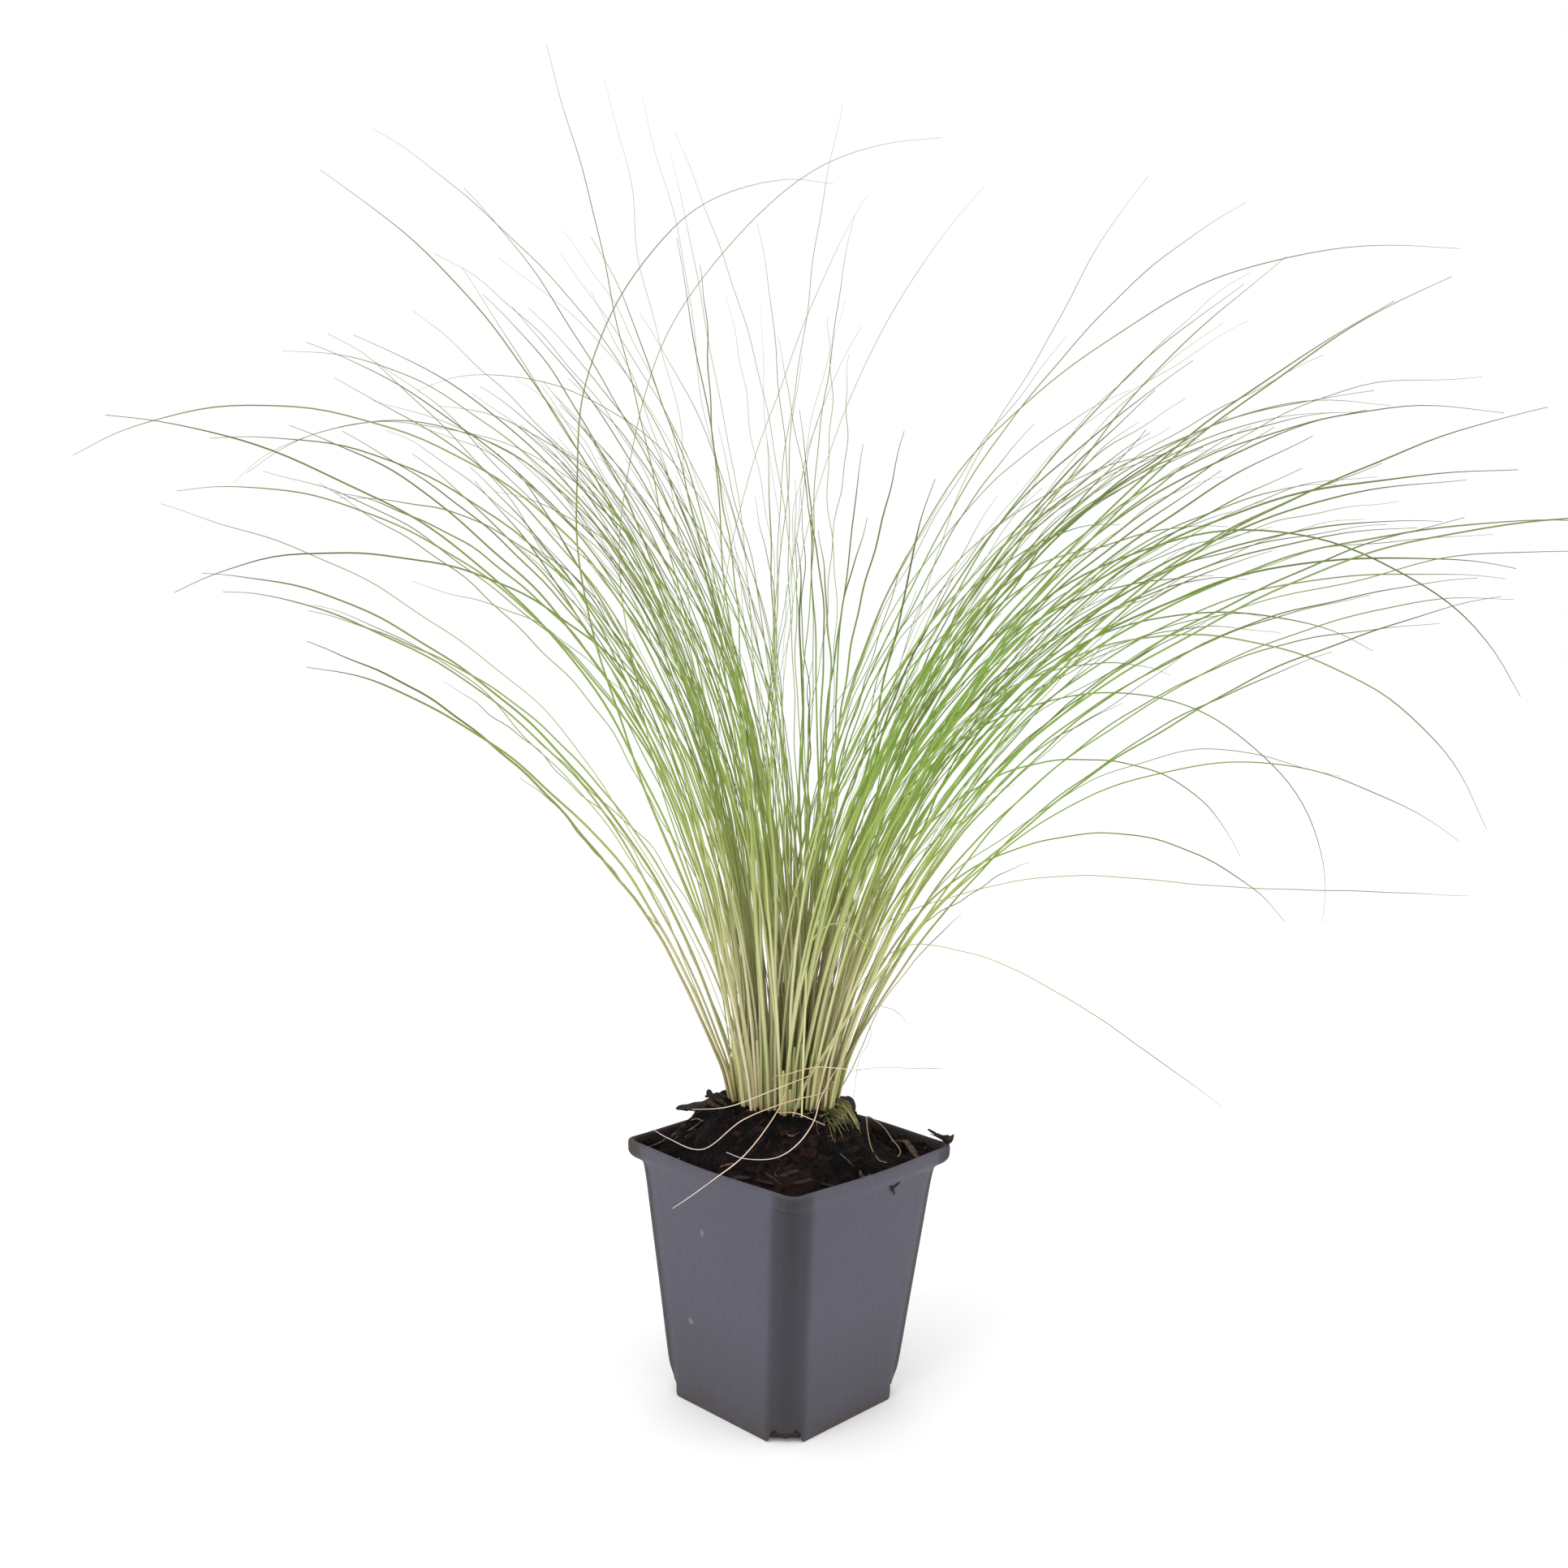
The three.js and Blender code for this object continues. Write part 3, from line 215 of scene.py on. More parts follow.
KNOB_SHIFT, KNOB_SHAPE = -2.8, (1.1, 1.2, 1.4)
MOSS_U, MOSS_V, MOSS_RADIUS, MOSS_HEIGHT = 17.3, -15.5, 5.4, 3.6
MOSS_SINK, MOSS_FLAT, MOSS_BASE = 1.0, 0.7, 1.5  # how deep the cushion sits, how flat it is, its foot's depth
MOSS_COUNTS, MOSS_POINTS = (26, 9, 115), 14  # strands of each kind, and points along one
# Three kinds of moss strand, combed, hanging and tangled: the middle and spread (u, v) of their roots, the
# heading and its stray, the curl, the length, the height over the soil and the half width.
MOSS_STRANDS = (
    ((12.5, -1.0), (1.2, 3.0), -0.75, 0.1, 0.15, 14.0, 1.9, 0.17),
    ((15.5, -18.0), (2.4, 2.0), -1.75, 0.4, 0.8, 9.0, 1.2, 0.12),
    ((15.5, -12.5), (3.0, 4.2), -1.0, 1.5, 2.4, 6.0, 1.3, 0.12),
)
# What the leaves keep clear of: from (u, v, z) to (u, v, z), with a radius.
KEEP_OUT = (
    ((-27.3, 0, 115), (-34, 1, 112), 3.4),
    ((24, 5, 109), (24, 5, 112), 4.8),
    ((17.1, -17, 114), (21.9, -17, 112.5), 3.6),
    ((19.5, -14.6, 113.5), (19.5, -19.4, 112.5), 3.6),
)
# Hairs too fine for the part's solids: half width, then the points (u, v, z).
HAIRS = (
    (0.16, ((17, -2, 115), (22.4, 0, 155.3), (41.5, -5, 177.1), (60.6, -12, 176.8), (80.8, -20, 172),
            (106.2, -30, 159.8), (128.5, -38, 146.1), (152, -45, 129.5))),
    (0.17, ((12, 2, 115), (30.9, 0, 180.6), (61.8, 5, 194.6), (101.1, 10, 202.7), (162.6, 12, 200.8),
            (262, 15, 198.2))),
    (0.24, ((16.5, 6.5, 113), (22, 4, 124.2), (26.2, 2, 134.4), (33.4, 0, 152.5), (46.3, -4, 172.4),
            (62, -8, 190))),
    (0.09, ((24, 1, 116), (26.2, 0, 133.3), (28.6, 0, 136.6), (30.2, -1, 142.5), (28.7, -2, 148.1),
            (31.1, -2, 152.9), (40, -3, 151), (44, -4, 146))),
    (0.1, ((18, -20, 131), (28, -20, 133.6), (45, -17, 133.4), (58, -15, 132.8))),
)
# Bits of wood on the soil: how far along the wood tints, half width, half thickness, places (u, v) along it.
WOOD = (
    (0.1, 0.36, 0.28, ((-47.4, 8.5), (-41, 2.5), (-36, -3), (-32.3, -8))),
    (0.15, 0.3, 0.25, ((-41.5, -5), (-36.5, -6), (-32.5, -6.5))),
    (0.15, 0.3, 0.25, ((-54.5, -1), (-50, 1.5), (-46, 5))),
    (0.05, 0.3, 0.25, ((-42.5, -19.3), (-39.7, -16.8))),
    (0.3, 0.8, 0.5, ((-23.8, -30.5), (-21.5, -31.5), (-18, -34.6))),
    (0.45, 1.6, 0.4, ((41.5, 9), (44.5, 5), (47, 0), (49.2, -5.9))),
    (0.4, 0.9, 0.7, ((23.9, -30.4), (24.8, -33), (26.9, -32.6), (27.7, -28.7))),
    (1.0, 0.4, 0.25, ((16.6, -33.2), (19.1, -32.3), (22, -31.2))),
    (0.3, 0.5, 0.3, ((50, 6.5), (53, 3.5))),
    (0.45, 0.8, 0.3, ((-1.8, -30.4), (0.6, -31.5), (3.3, -30.6))),
    (0.75, 1.4, 0.9, ((-19.8, -38.8), (-13, -41))), (0.85, 1.0, 0.6, ((-11, -42.8), (-5, -45.5))),
    (0.7, 1.3, 0.9, ((-3.2, -43.9), (3, -41.5))), (0.8, 1.2, 0.8, ((1, -46.5), (7.8, -43.3))),
    (0.85, 1.0, 0.6, ((10.5, -43), (16.6, -41.7))), (0.7, 0.9, 0.6, ((-8, -41), (-2, -46.5))),
)
WOOD_LIFT = 0.6  # how far they lie over the soil's middle surface
# Small hard bits that stick to the pot and the bark: tint, half width, half thickness, points (u, v, z).
STUCK = (
    (0.9, 0.4, 0.5, ((34.8, -25.6, 92), (36.4, -23.9, 90.8), (37.9, -22.4, 87.3))),
    (0.9, 0.4, 0.5, ((36.0, -24.6, 89.7), (38, -22.3, 90.6), (40.2, -20.2, 91.8))),
    (0.05, 0.3, 0.3, ((54.3, 9, 100.5), (57.9, 5, 100.1), (60.4, 1.2, 99.7), (62, -0.4, 99.9))),
    (0.62, 1.3, 1.3, ((-31.4, -3.5, 119.6), (-30.8, -3.8, 117.6), (-27.8, -4.5, 115.8), (-23.9, -8, 114.8))),
    (0.55, 1.1, 0.7, ((-32, -4, 115.2), (-28.5, -7, 114.4), (-24.5, -9.4, 114))),
    (0.65, 1.3, 0.8, ((-33, 1, 115.4), (-28, 0, 116.4), (-24, -3, 116.2))),
)
# Pale rubbed places on the pot's sides: the place (u, v, z) and the reach, in millimetres.
RUBBED = (((-30.7, -26.7, 72.4), 2.2), ((-35.3, -17.1, 34.0), 1.8), ((48.4, -5.8, 56.3), 1.6))
# The soiled place on the rim by its left corner, and the redder soil at the front corner, given alike.
RIM_GRIME, FRONT_SOIL = ((-60.0, 0.0, 100.5), 15.0), ((-1.0, -47.0, 99.0), 24.0)
# Heights on the pot in metres: the painted shade in its channels fades out under the rim and deepens
# upwards, painted shade darkens the lip at its corners, and dust is clean at one height and full at the
# next, by an amount.
BELOW_RIM, CHANNEL_SHADE_DEEPENS, LIP_SHADE = (0.099, 0.0975), (0.02, 0.08), (0.088, 0.094)
SOIL_DUST = ((0.010, 0.0, 0.7), (0.0965, 0.1, 0.5))

# ---------- the stage, in metres ----------
FLOOR_REACH, FLOOR_Z = 30.0, -0.0002
WHITE = (1.0, 1.0, 1.0, 1.0)
# The lights: place, size, and power beside the key light's. They look at one point over the pot.
LIGHTS = (("key_light", (-0.9, -1.0, 1.3), 1.0, 1.0), ("fill_light", (1.2, -0.7, 0.9), 1.2, 0.4))
LIT_POINT = (0.0, 0.0, 0.2)
CAMERA_PLACE, CAMERA_TILT, CAMERA_ROLL = (-0.0056, -0.588, 0.288), radians(85.0), radians(1.46)


# ---------- numbers on whole arrays ----------
def smooth(t):
    """3t^2 - 2t^3 between 0 and 1, level outside."""
    t = np.clip(t, 0.0, 1.0)
    return t * t * (3.0 - 2.0 * t)


def lerp(low, high, t):
    """From low at 0 to high at 1."""
    return low + (high - low) * t


def unit(vectors):
    """Vectors brought to length 1."""
    return vectors / np.maximum(np.linalg.norm(vectors, axis=-1, keepdims=True), 1e-12)


def turned(points, angle):
    """Points turned by angle about Z."""
    c, s = cos(angle), sin(angle)
    return points @ np.array([[c, s, 0.0], [-s, c, 0.0], [0.0, 0.0, 1.0]])


def value_noise(points, scale, seed=0):
    """Each corner of a lattice `scale` wide has a drawn height from -1 to 1, which is blended between
    the eight corners round a point by the smooth curve."""
    at = points / scale
    low = np.floor(at)
    way = smooth(at - low)
    total = np.zeros(at.shape[:-1])
    for corner in np.ndindex(2, 2, 2):
        place = low + corner
        drawn = np.sin(place @ np.array([127.1, 311.7, 74.7]) + seed * 53.3) * 43758.5453
        share = np.prod(np.where(np.array(corner) == 1, way, 1.0 - way), axis=-1)
        total += share * (2.0 * (drawn - np.floor(drawn)) - 1.0)
    return total


def soil_height(x, y):
    """A mound under the crown, steeper to the right and the back and level along the sides, and three
    crossed waves that die away under it."""
    r = np.hypot(x, y)
    u, v = x * cos(HEADING) + y * sin(HEADING), y * cos(HEADING) - x * sin(HEADING)
    skew = np.maximum(MOUND_SKEW[0] * u + MOUND_SKEW[1] * v, 0.0)
    from_side = MOUTH_HALF - WALL - np.maximum(np.abs(x), np.abs(y))
    mound = MOUND * smooth((MOUND_REACH - r - skew) / MOUND_RUN) * smooth(from_side / EDGE_RUN)
    rough = CALM_SHARE + (1.0 - CALM_SHARE) * smooth((r - CALM_RADIUS) / CALM_RUN)
    waves = sum(size * np.sin(a * x + b * y + start) for a, b, start, size in WAVES)
    return SOIL_TOP + mound + rough * waves


def soil_along(u, v):
    """The soil's height at a place of the clump."""
    c, s = cos(HEADING), sin(HEADING)
    return soil_height(u * c - v * s, u * s + v * c)


# ---------- surfaces ----------
def grid_faces(rows, columns, first=0, wrap=True):
    """Quads between neighbouring points of a grid, closed round its columns if wrap. They face outwards
    when the columns run anticlockwise seen from the last row."""
    r = np.arange(rows - 1)[:, None] * columns
    i = np.arange(columns if wrap else columns - 1)[None, :]
    j = (i + 1) % columns
    return np.stack([r + i, r + j, r + columns + j, r + columns + i], -1).reshape(-1, 4) + first


def cap_faces(start, columns, hub, flip):
    """Triangles from a hub point to each side of a ring."""
    i = np.arange(columns)
    a, b = start + i, start + (i + 1) % columns
    fan = np.stack([np.full(columns, hub), a, b], -1)
    return fan[:, ::-1] if flip else fan


def closed_faces(rows, columns):
    """A grid closed round its columns and at both ends. Its last two points are the hubs of its first row
    and its last."""
    hub = rows * columns
    return [
        grid_faces(rows, columns), cap_faces(0, columns, hub, True),
        cap_faces(hub - columns, columns, hub + 1, False),
    ]


def placed(points):
    """Points of the clump, in the part's frame and in metres."""
    return turned(points, HEADING) * MM


def add_piece(name, points, faces, material, marks=None, smoothed=True):
    """A mesh object whose place is in its mesh. points are in metres; marks are numbers on its points."""
    mesh = bpy.data.meshes.new(name)
    loops = np.concatenate([f.ravel() for f in faces]).astype(np.int32)
    sizes = np.concatenate([np.full(len(f), f.shape[1]) for f in faces])
    starts = np.concatenate([[0], np.cumsum(sizes)[:-1]]).astype(np.int32)
    mesh.vertices.add(len(points))
    mesh.vertices.foreach_set("co", np.ascontiguousarray(points, np.float32).ravel())
    mesh.loops.add(len(loops))
    mesh.loops.foreach_set("vertex_index", loops)
    mesh.polygons.add(len(sizes))
    mesh.polygons.foreach_set("loop_start", starts)
    mesh.polygons.foreach_set("use_smooth", np.full(len(sizes), smoothed))
    for mark, values in (marks or {}).items():
        layer = mesh.attributes.new(mark, "FLOAT", "POINT")
        layer.data.foreach_set("value", np.ascontiguousarray(values, np.float32).ravel())
    mesh.update(calc_edges=True)
    if mesh.validate():
        raise RuntimeError(name + " has faces that do not fit its points")
    piece = bpy.data.objects.new(name, mesh)
    piece.data.materials.append(material)
    bpy.context.scene.collection.objects.link(piece)
    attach(piece, "root")
    return piece


def tubes(paths, half, levels, sides=4, flat=1.0):
    """Closed tubes along paths (n, m, 3): round each point of a path stand `sides` points, at the half
    width along the line across the path (the level line less its part along the path) and at the half
    width times flat along the line square to both. Gives points, faces and the ring of each point."""
    n, m = paths.shape[:2]
    along = unit(np.gradient(paths, axis=1))
    level = np.broadcast_to(levels[:, None], paths.shape)
    across = unit(level - (level * along).sum(-1, keepdims=True) * along)
    up = np.cross(along, across)
    angle = 2.0 * pi * np.arange(sides) / sides
    reach = np.broadcast_to(half, (n, m))[..., None, None]
    rings = paths[:, :, None] + reach * (
        across[:, :, None] * np.cos(angle)[:, None] + up[:, :, None] * flat * np.sin(angle)[:, None]
    )
    skin = grid_faces(m, sides)[None] + np.arange(n)[:, None, None] * m * sides
    ring = np.arange(sides)
    ends = np.stack([ring[::-1], ring + (m - 1) * sides])[None] + np.arange(n)[:, None, None] * m * sides
    faces = [skin.reshape(-1, 4), ends.reshape(-1, sides)]
    return rings.reshape(-1, 3), faces, sides


def catmull(points, count):
    """A centripetal Catmull-Rom curve through points, at count + 1 places evenly spaced along it. Its
    ends carry on straight, and its length is summed over 200 stretches."""
    points = np.asarray(points, float)
    ends = np.vstack([2 * points[0] - points[1], points, 2 * points[-1] - points[-2]])
    last = len(points) - 1

    def at(t):
        place = last * t
        k = np.minimum(np.floor(place).astype(int), last - 1)
        w = (place - k)[:, None]
        x0, x1, x2, x3 = (ends[k + i] for i in range(4))
        d0, d1, d2 = (((b - a) ** 2).sum(1, keepdims=True) ** 0.25 for a, b in ((x0, x1), (x1, x2), (x2, x3)))
        t1 = ((x1 - x0) / d0 - (x2 - x0) / (d0 + d1) + (x2 - x1) / d1) * d1
        t2 = ((x2 - x1) / d1 - (x3 - x1) / (d1 + d2) + (x3 - x2) / d2) * d1
        return x1 + t1 * w + (-3 * x1 + 3 * x2 - 2 * t1 - t2) * w**2 + (2 * x1 - 2 * x2 + t1 + t2) * w**3

    t = np.linspace(0.0, 1.0, 201)
    run = np.concatenate([[0.0], np.cumsum(np.linalg.norm(np.diff(at(t), axis=0), axis=1))])
    return at(np.interp(np.linspace(0.0, run[-1], count + 1), run, t))


def refine(paths, parts):
    """Paths (n, m, 3) with each stretch cut in parts on a uniform Catmull-Rom curve."""
    ends = np.concatenate(
        [2 * paths[:, :1] - paths[:, 1:2], paths, 2 * paths[:, -1:] - paths[:, -2:-1]], axis=1
    )
    w = (np.arange(parts) / parts)[None, None, :, None]
    p0, p1, p2, p3 = (ends[:, i : ends.shape[1] - 3 + i, None] for i in range(4))
    bend = 2 * p0 - 5 * p1 + 4 * p2 - p3
    twist = 3 * p1 - p0 - 3 * p2 + p3
    fine = 0.5 * (2 * p1 + (p2 - p0) * w + bend * w**2 + twist * w**3)
    return np.concatenate([fine.reshape(len(paths), -1, 3), paths[:, -1:]], axis=1)


# ---------- how the leaves grow: the part's own rule ----------
class Draws:
    """A linear congruential generator, so that the leaves stand where the part's solids stand."""

    def __init__(self, seed):
        self.state = seed

    def __call__(self, low=0.0, high=1.0):
        self.state = (self.state * 1664525 + 1013904223) % 4294967296
        return low + (high - low) * self.state / 4294967296


def leaf_paths(roots, start, end, length, power):
    """The lean goes from start to end with a power of the way along, and the steps are summed."""
    way = ((np.arange(PATH_STEPS) + 0.5) / PATH_STEPS) ** power[:, None]
    lean_u = start[:, :1] + (end[:, :1] - start[:, :1]) * way
    lean_v = start[:, 1:] + (end[:, 1:] - start[:, 1:]) * way
    lean = np.radians(np.hypot(lean_u, lean_v))
    heading = np.arctan2(lean_v, lean_u)
    step = np.stack([np.sin(lean) * np.cos(heading), np.sin(lean) * np.sin(heading), np.cos(lean)], -1)
    run = np.cumsum(step * (length / PATH_STEPS)[:, None, None], axis=1)
    return roots[:, None] + np.concatenate([np.zeros((len(roots), 1, 3)), run], axis=1)


def tuft_places():
    """A sunflower spiral: the turn is steady, and the distance grows with the root of the number."""
    i = np.arange(TUFTS)
    r = CROWN_RADIUS * np.sqrt((i + 0.5) / TUFTS)
    angle = np.radians(i * TURN)
    return np.stack([r * np.cos(angle), r * np.sin(angle)], -1)


def root_of(u, v):
    """Where a leaf leaves the soil, a little over its surface."""
    return np.stack([u + CROWN_U, v, soil_along(u + CROWN_U, v) + ROOT_LIFT], -1)


def sheath_spine(u, v):
    """The foot in the soil, the ground and the collar, on the crown's own lean."""
    lean_u, lean_v = u / CROWN_RADIUS * CROWN_LEAN, v / CROWN_RADIUS * CROWN_LEAN
    lean, heading = radians(np.hypot(lean_u, lean_v)), np.arctan2(lean_v, lean_u)
    along = np.array([sin(lean) * cos(heading), sin(lean) * sin(heading), cos(lean)])
    ground = np.array([u + CROWN_U, v, float(soil_along(u + CROWN_U, v))])
    return np.stack([ground - along * SHEATH_DEPTH, ground, ground + along * SHEATH_HEIGHT])


def dry_spine(radius, route, steps=DRY_STEPS):
    """A dry leaf's route from its foot in the soil, no lower than the soil or the rim under it."""
    u, v = route[0][:2]
    foot = np.array([u, v, float(soil_along(u, v)) - DRY_ROOT_DEPTH])
    collar = foot + [0.0, 0.0, DRY_ROOT_DEPTH + DRY_COLLAR]
    points = catmull([collar, *route], steps)
    from_middle = turned(points, HEADING)
    from_side = np.abs(from_middle[:, :2]).max(1)
    ground = soil_height(from_middle[:, 0], from_middle[:, 1])
    ground = np.where(from_side > MOUTH_HALF - 2, POT_HEIGHT, ground)
    ground = np.where(from_side > LIP_HALF + 1, -np.inf, ground)
    lifted = np.maximum(points[:, 2], ground + radius + DRY_LIFT)
    points[1:, 2] = lifted[1:]
    return np.vstack([foot, points])


class Standing:
    """The straight stretches that have been placed, and whether a new blade is clear of them."""

    def __init__(self):
        self.rows = np.zeros((4096, 13))
        self.count = 0

    @staticmethod
    def stretches(spine, radii):
        a, b = spine[:-1], spine[1:]
        return a, b, (a + b) * 0.5, np.linalg.norm(b - a, axis=1) * 0.5, np.maximum(radii[:-1], radii[1:])

    def place(self, owner, spine, radii, sheath=0.0):
        a, b, middle, reach, radius = self.stretches(spine, np.asarray(radii, float))
        n = len(a)
        block = np.column_stack([a, b, middle, reach, radius, np.full(n, owner), np.full(n, sheath)])
        self.rows[self.count : self.count + n] = block
        self.count += n

    def is_clear(self, owner, spine, radii):
        a, b, middle, reach, radius = self.stretches(spine, radii)
        rows = self.rows[: self.count]
        own = rows[:, 11] == owner
        room = radius[:, None] + rows[:, 10] + np.where(own, 0.0, CLEARANCE)
        apart = np.linalg.norm(middle[:, None] - rows[None, :, 6:9], axis=2)
        near = (apart <= reach[:, None] + rows[:, 9] + room) & ~(own & (rows[:, 12] > 0))
        i, j = np.nonzero(near)
        if not len(i):
            return True
        p, q, r = b[i] - a[i], rows[j, 3:6] - rows[j, 0:3], a[i] - rows[j, 0:3]
        pp, qq, pq = (p * p).sum(1), (q * q).sum(1), (p * q).sum(1)
        pr, qr = (p * r).sum(1), (q * r).sum(1)
        flat = pp * qq - pq * pq
        s = np.where(flat > 1e-9, np.clip((pq * qr - pr * qq) / np.maximum(flat, 1e-9), 0, 1), 0.0)
        t = (pq * s + qr) / qq
        held = np.clip(t, 0.0, 1.0)
        s = np.where((t < 0) | (t > 1), np.clip((pq * held - pr) / pp, 0, 1), s)
        gap = np.linalg.norm(r + p * s[:, None] - q * held[:, None], axis=1)
        return not (gap < room[i, j]).any()


def draw_blade(draw, u, v, k):
    """One blade of the bulk: upright, splayed low, or arched with one of the two lobes."""
    angle = radians(60 * k + draw(-20, 20))
    ring, fan = (0.0, 0.0) if k == 0 else (BLADE_RING, BLADE_FAN)
    root = (u + ring * cos(angle), v + ring * sin(angle))
    su, sv = root[0] / CROWN_RADIUS, root[1] / CROWN_RADIUS
    kind = draw()
    way = -1 if su + draw(-0.35, 0.35) < 0 else 1
    a, b, c, d, e, f = (draw() for _ in range(6))
    if kind < 0.08:
        back = 1 if sv + lerp(-0.3, 0.3, e) > 0 else -1
        start = (su * 9 + lerp(-3, 3, a), sv * 13 + lerp(-4, 4, b))
        fall = (lerp(-30, 30, c), back * lerp(25, 85, d))
        length, power = lerp(190, 370, f), lerp(1.2, 1.8, e)
    elif kind < 0.15:
        start = (way * lerp(11, 24, a), sv * 16 + lerp(-5, 5, b))
        fall = (way * lerp(55, 100, c), sv * 30 + lerp(-25, 25, d))
        length, power = lerp(150, 330, f), lerp(1, 1.5, e)
    else:
        lean = su * 10 + 2 if way > 0 else su * 8 - 1
        start = (lean + lerp(-3, 3, a), sv * 9 + lerp(-3, 3, b))
        fall = (way * lerp(50, 102, c), sv * 40 + lerp(-30, 30, d))
        length = FULL_LENGTH * (lerp(0.3, 1, f) if way > 0 else lerp(0.25, 0.85, f)) ** 0.75
        power = lerp(1, 1.35, e) if way > 0 else lerp(1.35, 1.8, e)
    start = (start[0] + fan * cos(angle), start[1] + fan * sin(angle))
    share = (length / FULL_LENGTH) ** power
    return root, start, (start[0] + fall[0] * share, start[1] + fall[1] * share), length, power


def grow_leaves():
    """Every leaf that has a solid: its tuft, root, leans, length and power, as rows of numbers. A blade
    that comes too near another tuft is drawn again, and is left out after so many draws."""
    draw = Draws(SEED)
    standing = Standing()
    places = tuft_places()
    for i, (u, v) in enumerate(places):
        standing.place(i, sheath_spine(u, v), (SHEATH_FOOT, SHEATH_COLLAR, SHEATH_MOUTH), 1.0)
    for i, (radius, route) in enumerate(DRY_LEAVES):
        standing.place(100 + i, dry_spine(radius, route), [radius] * (DRY_STEPS + 2))
    for i, (low, high, radius) in enumerate(KEEP_OUT):
        standing.place(200 + i, np.array([low, high], float), (radius, radius))
    leaves = []
    held = [0] * TUFTS

    def grow(i, thick, drawn):
        for attempt in range(TRIES):
            root, start, end, length, power = drawn(attempt)
            path = leaf_paths(
                root_of(*np.array(root))[None], np.array([start]), np.array([end]), np.array([float(length)]),
                np.array([float(power)]),
            )[0]
            bend = np.hypot(end[0] - start[0], end[1] - start[1])
            count = int(np.clip(np.ceil(bend / 20), 3, 8))
            at = np.floor(PATH_STEPS * (np.arange(count + 1) / count) ** (1 / power) + 0.5).astype(int)
            radii = lerp(thick, BLADE_TIP, at / PATH_STEPS)
            if standing.is_clear(i, path[at], radii):
                standing.place(i, path[at], radii)
                held[i] += 1
                leaves.append((i, *root, *start, *end, length, power, thick))
                return

    for u, v, from_u, from_v, to_u, to_v, length, power in LONG_LEAVES:
        gaps = np.hypot(places[:, 0] - u, places[:, 1] - v)
        owner = int(gaps.argmin())
        pull = min(1.0, BLADE_RING / gaps[owner])
        root = tuple(p + (q - p) * pull for p, q in zip(places[owner], (u, v)))

        def nudged(attempt):
            nudge = 0.0 if attempt == 0 else 4 + attempt * 0.25
            a, b, c = (draw(-nudge, nudge) for _ in range(3))
            return root, (from_u + a / 3, from_v + b / 2), (to_u, to_v + c), length, power

        grow(owner, LONG_BLADE_ROOT, nudged)
    for k in range(PER_TUFT):
        for i, (u, v) in enumerate(places):
            if held[i] < PER_TUFT:
                grow(i, BLADE_ROOT, lambda attempt: draw_blade(draw, u, v, k))
    return np.array(leaves)


# ---------- nodes ----------
def srgb(red, green, blue):
    """A colour of 0 to 255 as linear numbers."""
    shares = (c / 255 for c in (red, green, blue))
    return tuple(((c + 0.055) / 1.055) ** 2.4 if c > 0.04045 else c / 12.92 for c in shares)


def put(tree, kind, inputs=(), **settings):
    """A node with its settings; each input is a number, a colour or a socket to link from."""
    node = tree.nodes.new(kind)
    for name, value in settings.items():
        setattr(node, name, value)
    for name, value in dict(inputs).items():
        socket = node.inputs[name]
        if isinstance(value, bpy.types.NodeSocket):
            tree.links.new(value, socket)
        elif socket.type == "RGBA" and len(value) == 3:
            socket.default_value = (*value, 1.0)
        else:
            socket.default_value = value
    return node


def mix(tree, share, low, high, blend="MIX"):
    """The colour low, or high by the share."""
    node = put(tree, "ShaderNodeMix", data_type="RGBA", blend_type=blend)
    sockets = {"Factor": node.inputs[0], "A": node.inputs[6], "B": node.inputs[7]}
    for name, value in (("Factor", share), ("A", low), ("B", high)):
        if isinstance(value, bpy.types.NodeSocket):
            tree.links.new(value, sockets[name])
        else:
            sockets[name].default_value = value if name == "Factor" else (*value[:3], 1.0)
    return node.outputs[2]


def group_sockets(group, inputs, outputs):
    """A group's sockets from (name, kind, default) rows: what it is given, and what it puts out."""
    for name, kind, default in inputs:
        socket = group.interface.new_socket(name=name, in_out="INPUT", socket_type=kind)
        if default is not None:
            socket.default_value = default
    for name, kind in outputs:
        group.interface.new_socket(name=name, in_out="OUTPUT", socket_type=kind)
    return group.nodes.new("NodeGroupInput").outputs, group.nodes.new("NodeGroupOutput").inputs


def built_once(name):
    """The node group of that name is built when it is first asked for, and found after that."""
    def wrap(build):
        def group():
            if name not in bpy.data.node_groups:
                build(bpy.data.node_groups.new(name, "ShaderNodeTree"))
            return bpy.data.node_groups[name]
        return group
    return wrap


def use(tree, group, inputs):
    """The outputs of a node group placed in a tree with its own values."""
    return put(tree, "ShaderNodeGroup", inputs, node_tree=group).outputs


@built_once("Mottle")
def mottle_group(group):
    """Uneven patches: noise at Scale on a stretched place, spread about its middle by Contrast."""
    given, out = group_sockets(
        group,
        [("Place", "NodeSocketVector", None), ("Stretch", "NodeSocketVector", (1.0, 1.0, 1.0)),
         ("Scale", "NodeSocketFloat", 100.0), ("Detail", "NodeSocketFloat", 3.0),
         ("Contrast", "NodeSocketFloat", 2.0)],
        [("Mask", "NodeSocketFloat")],
    )
    place = put(group, "ShaderNodeVectorMath", {0: given["Place"], 1: given["Stretch"]}, operation="MULTIPLY")
    noise = put(group, "ShaderNodeTexNoise", {
        "Vector": place.outputs[0], "Scale": given["Scale"], "Detail": given["Detail"]})
    centred = put(group, "ShaderNodeMath", {0: noise.outputs["Fac"], 1: 0.5}, operation="SUBTRACT")
    spread = put(group, "ShaderNodeMath", {0: centred.outputs[0], 1: given["Contrast"], 2: 0.5},
                 operation="MULTIPLY_ADD", use_clamp=True)
    group.links.new(spread.outputs[0], out["Mask"])


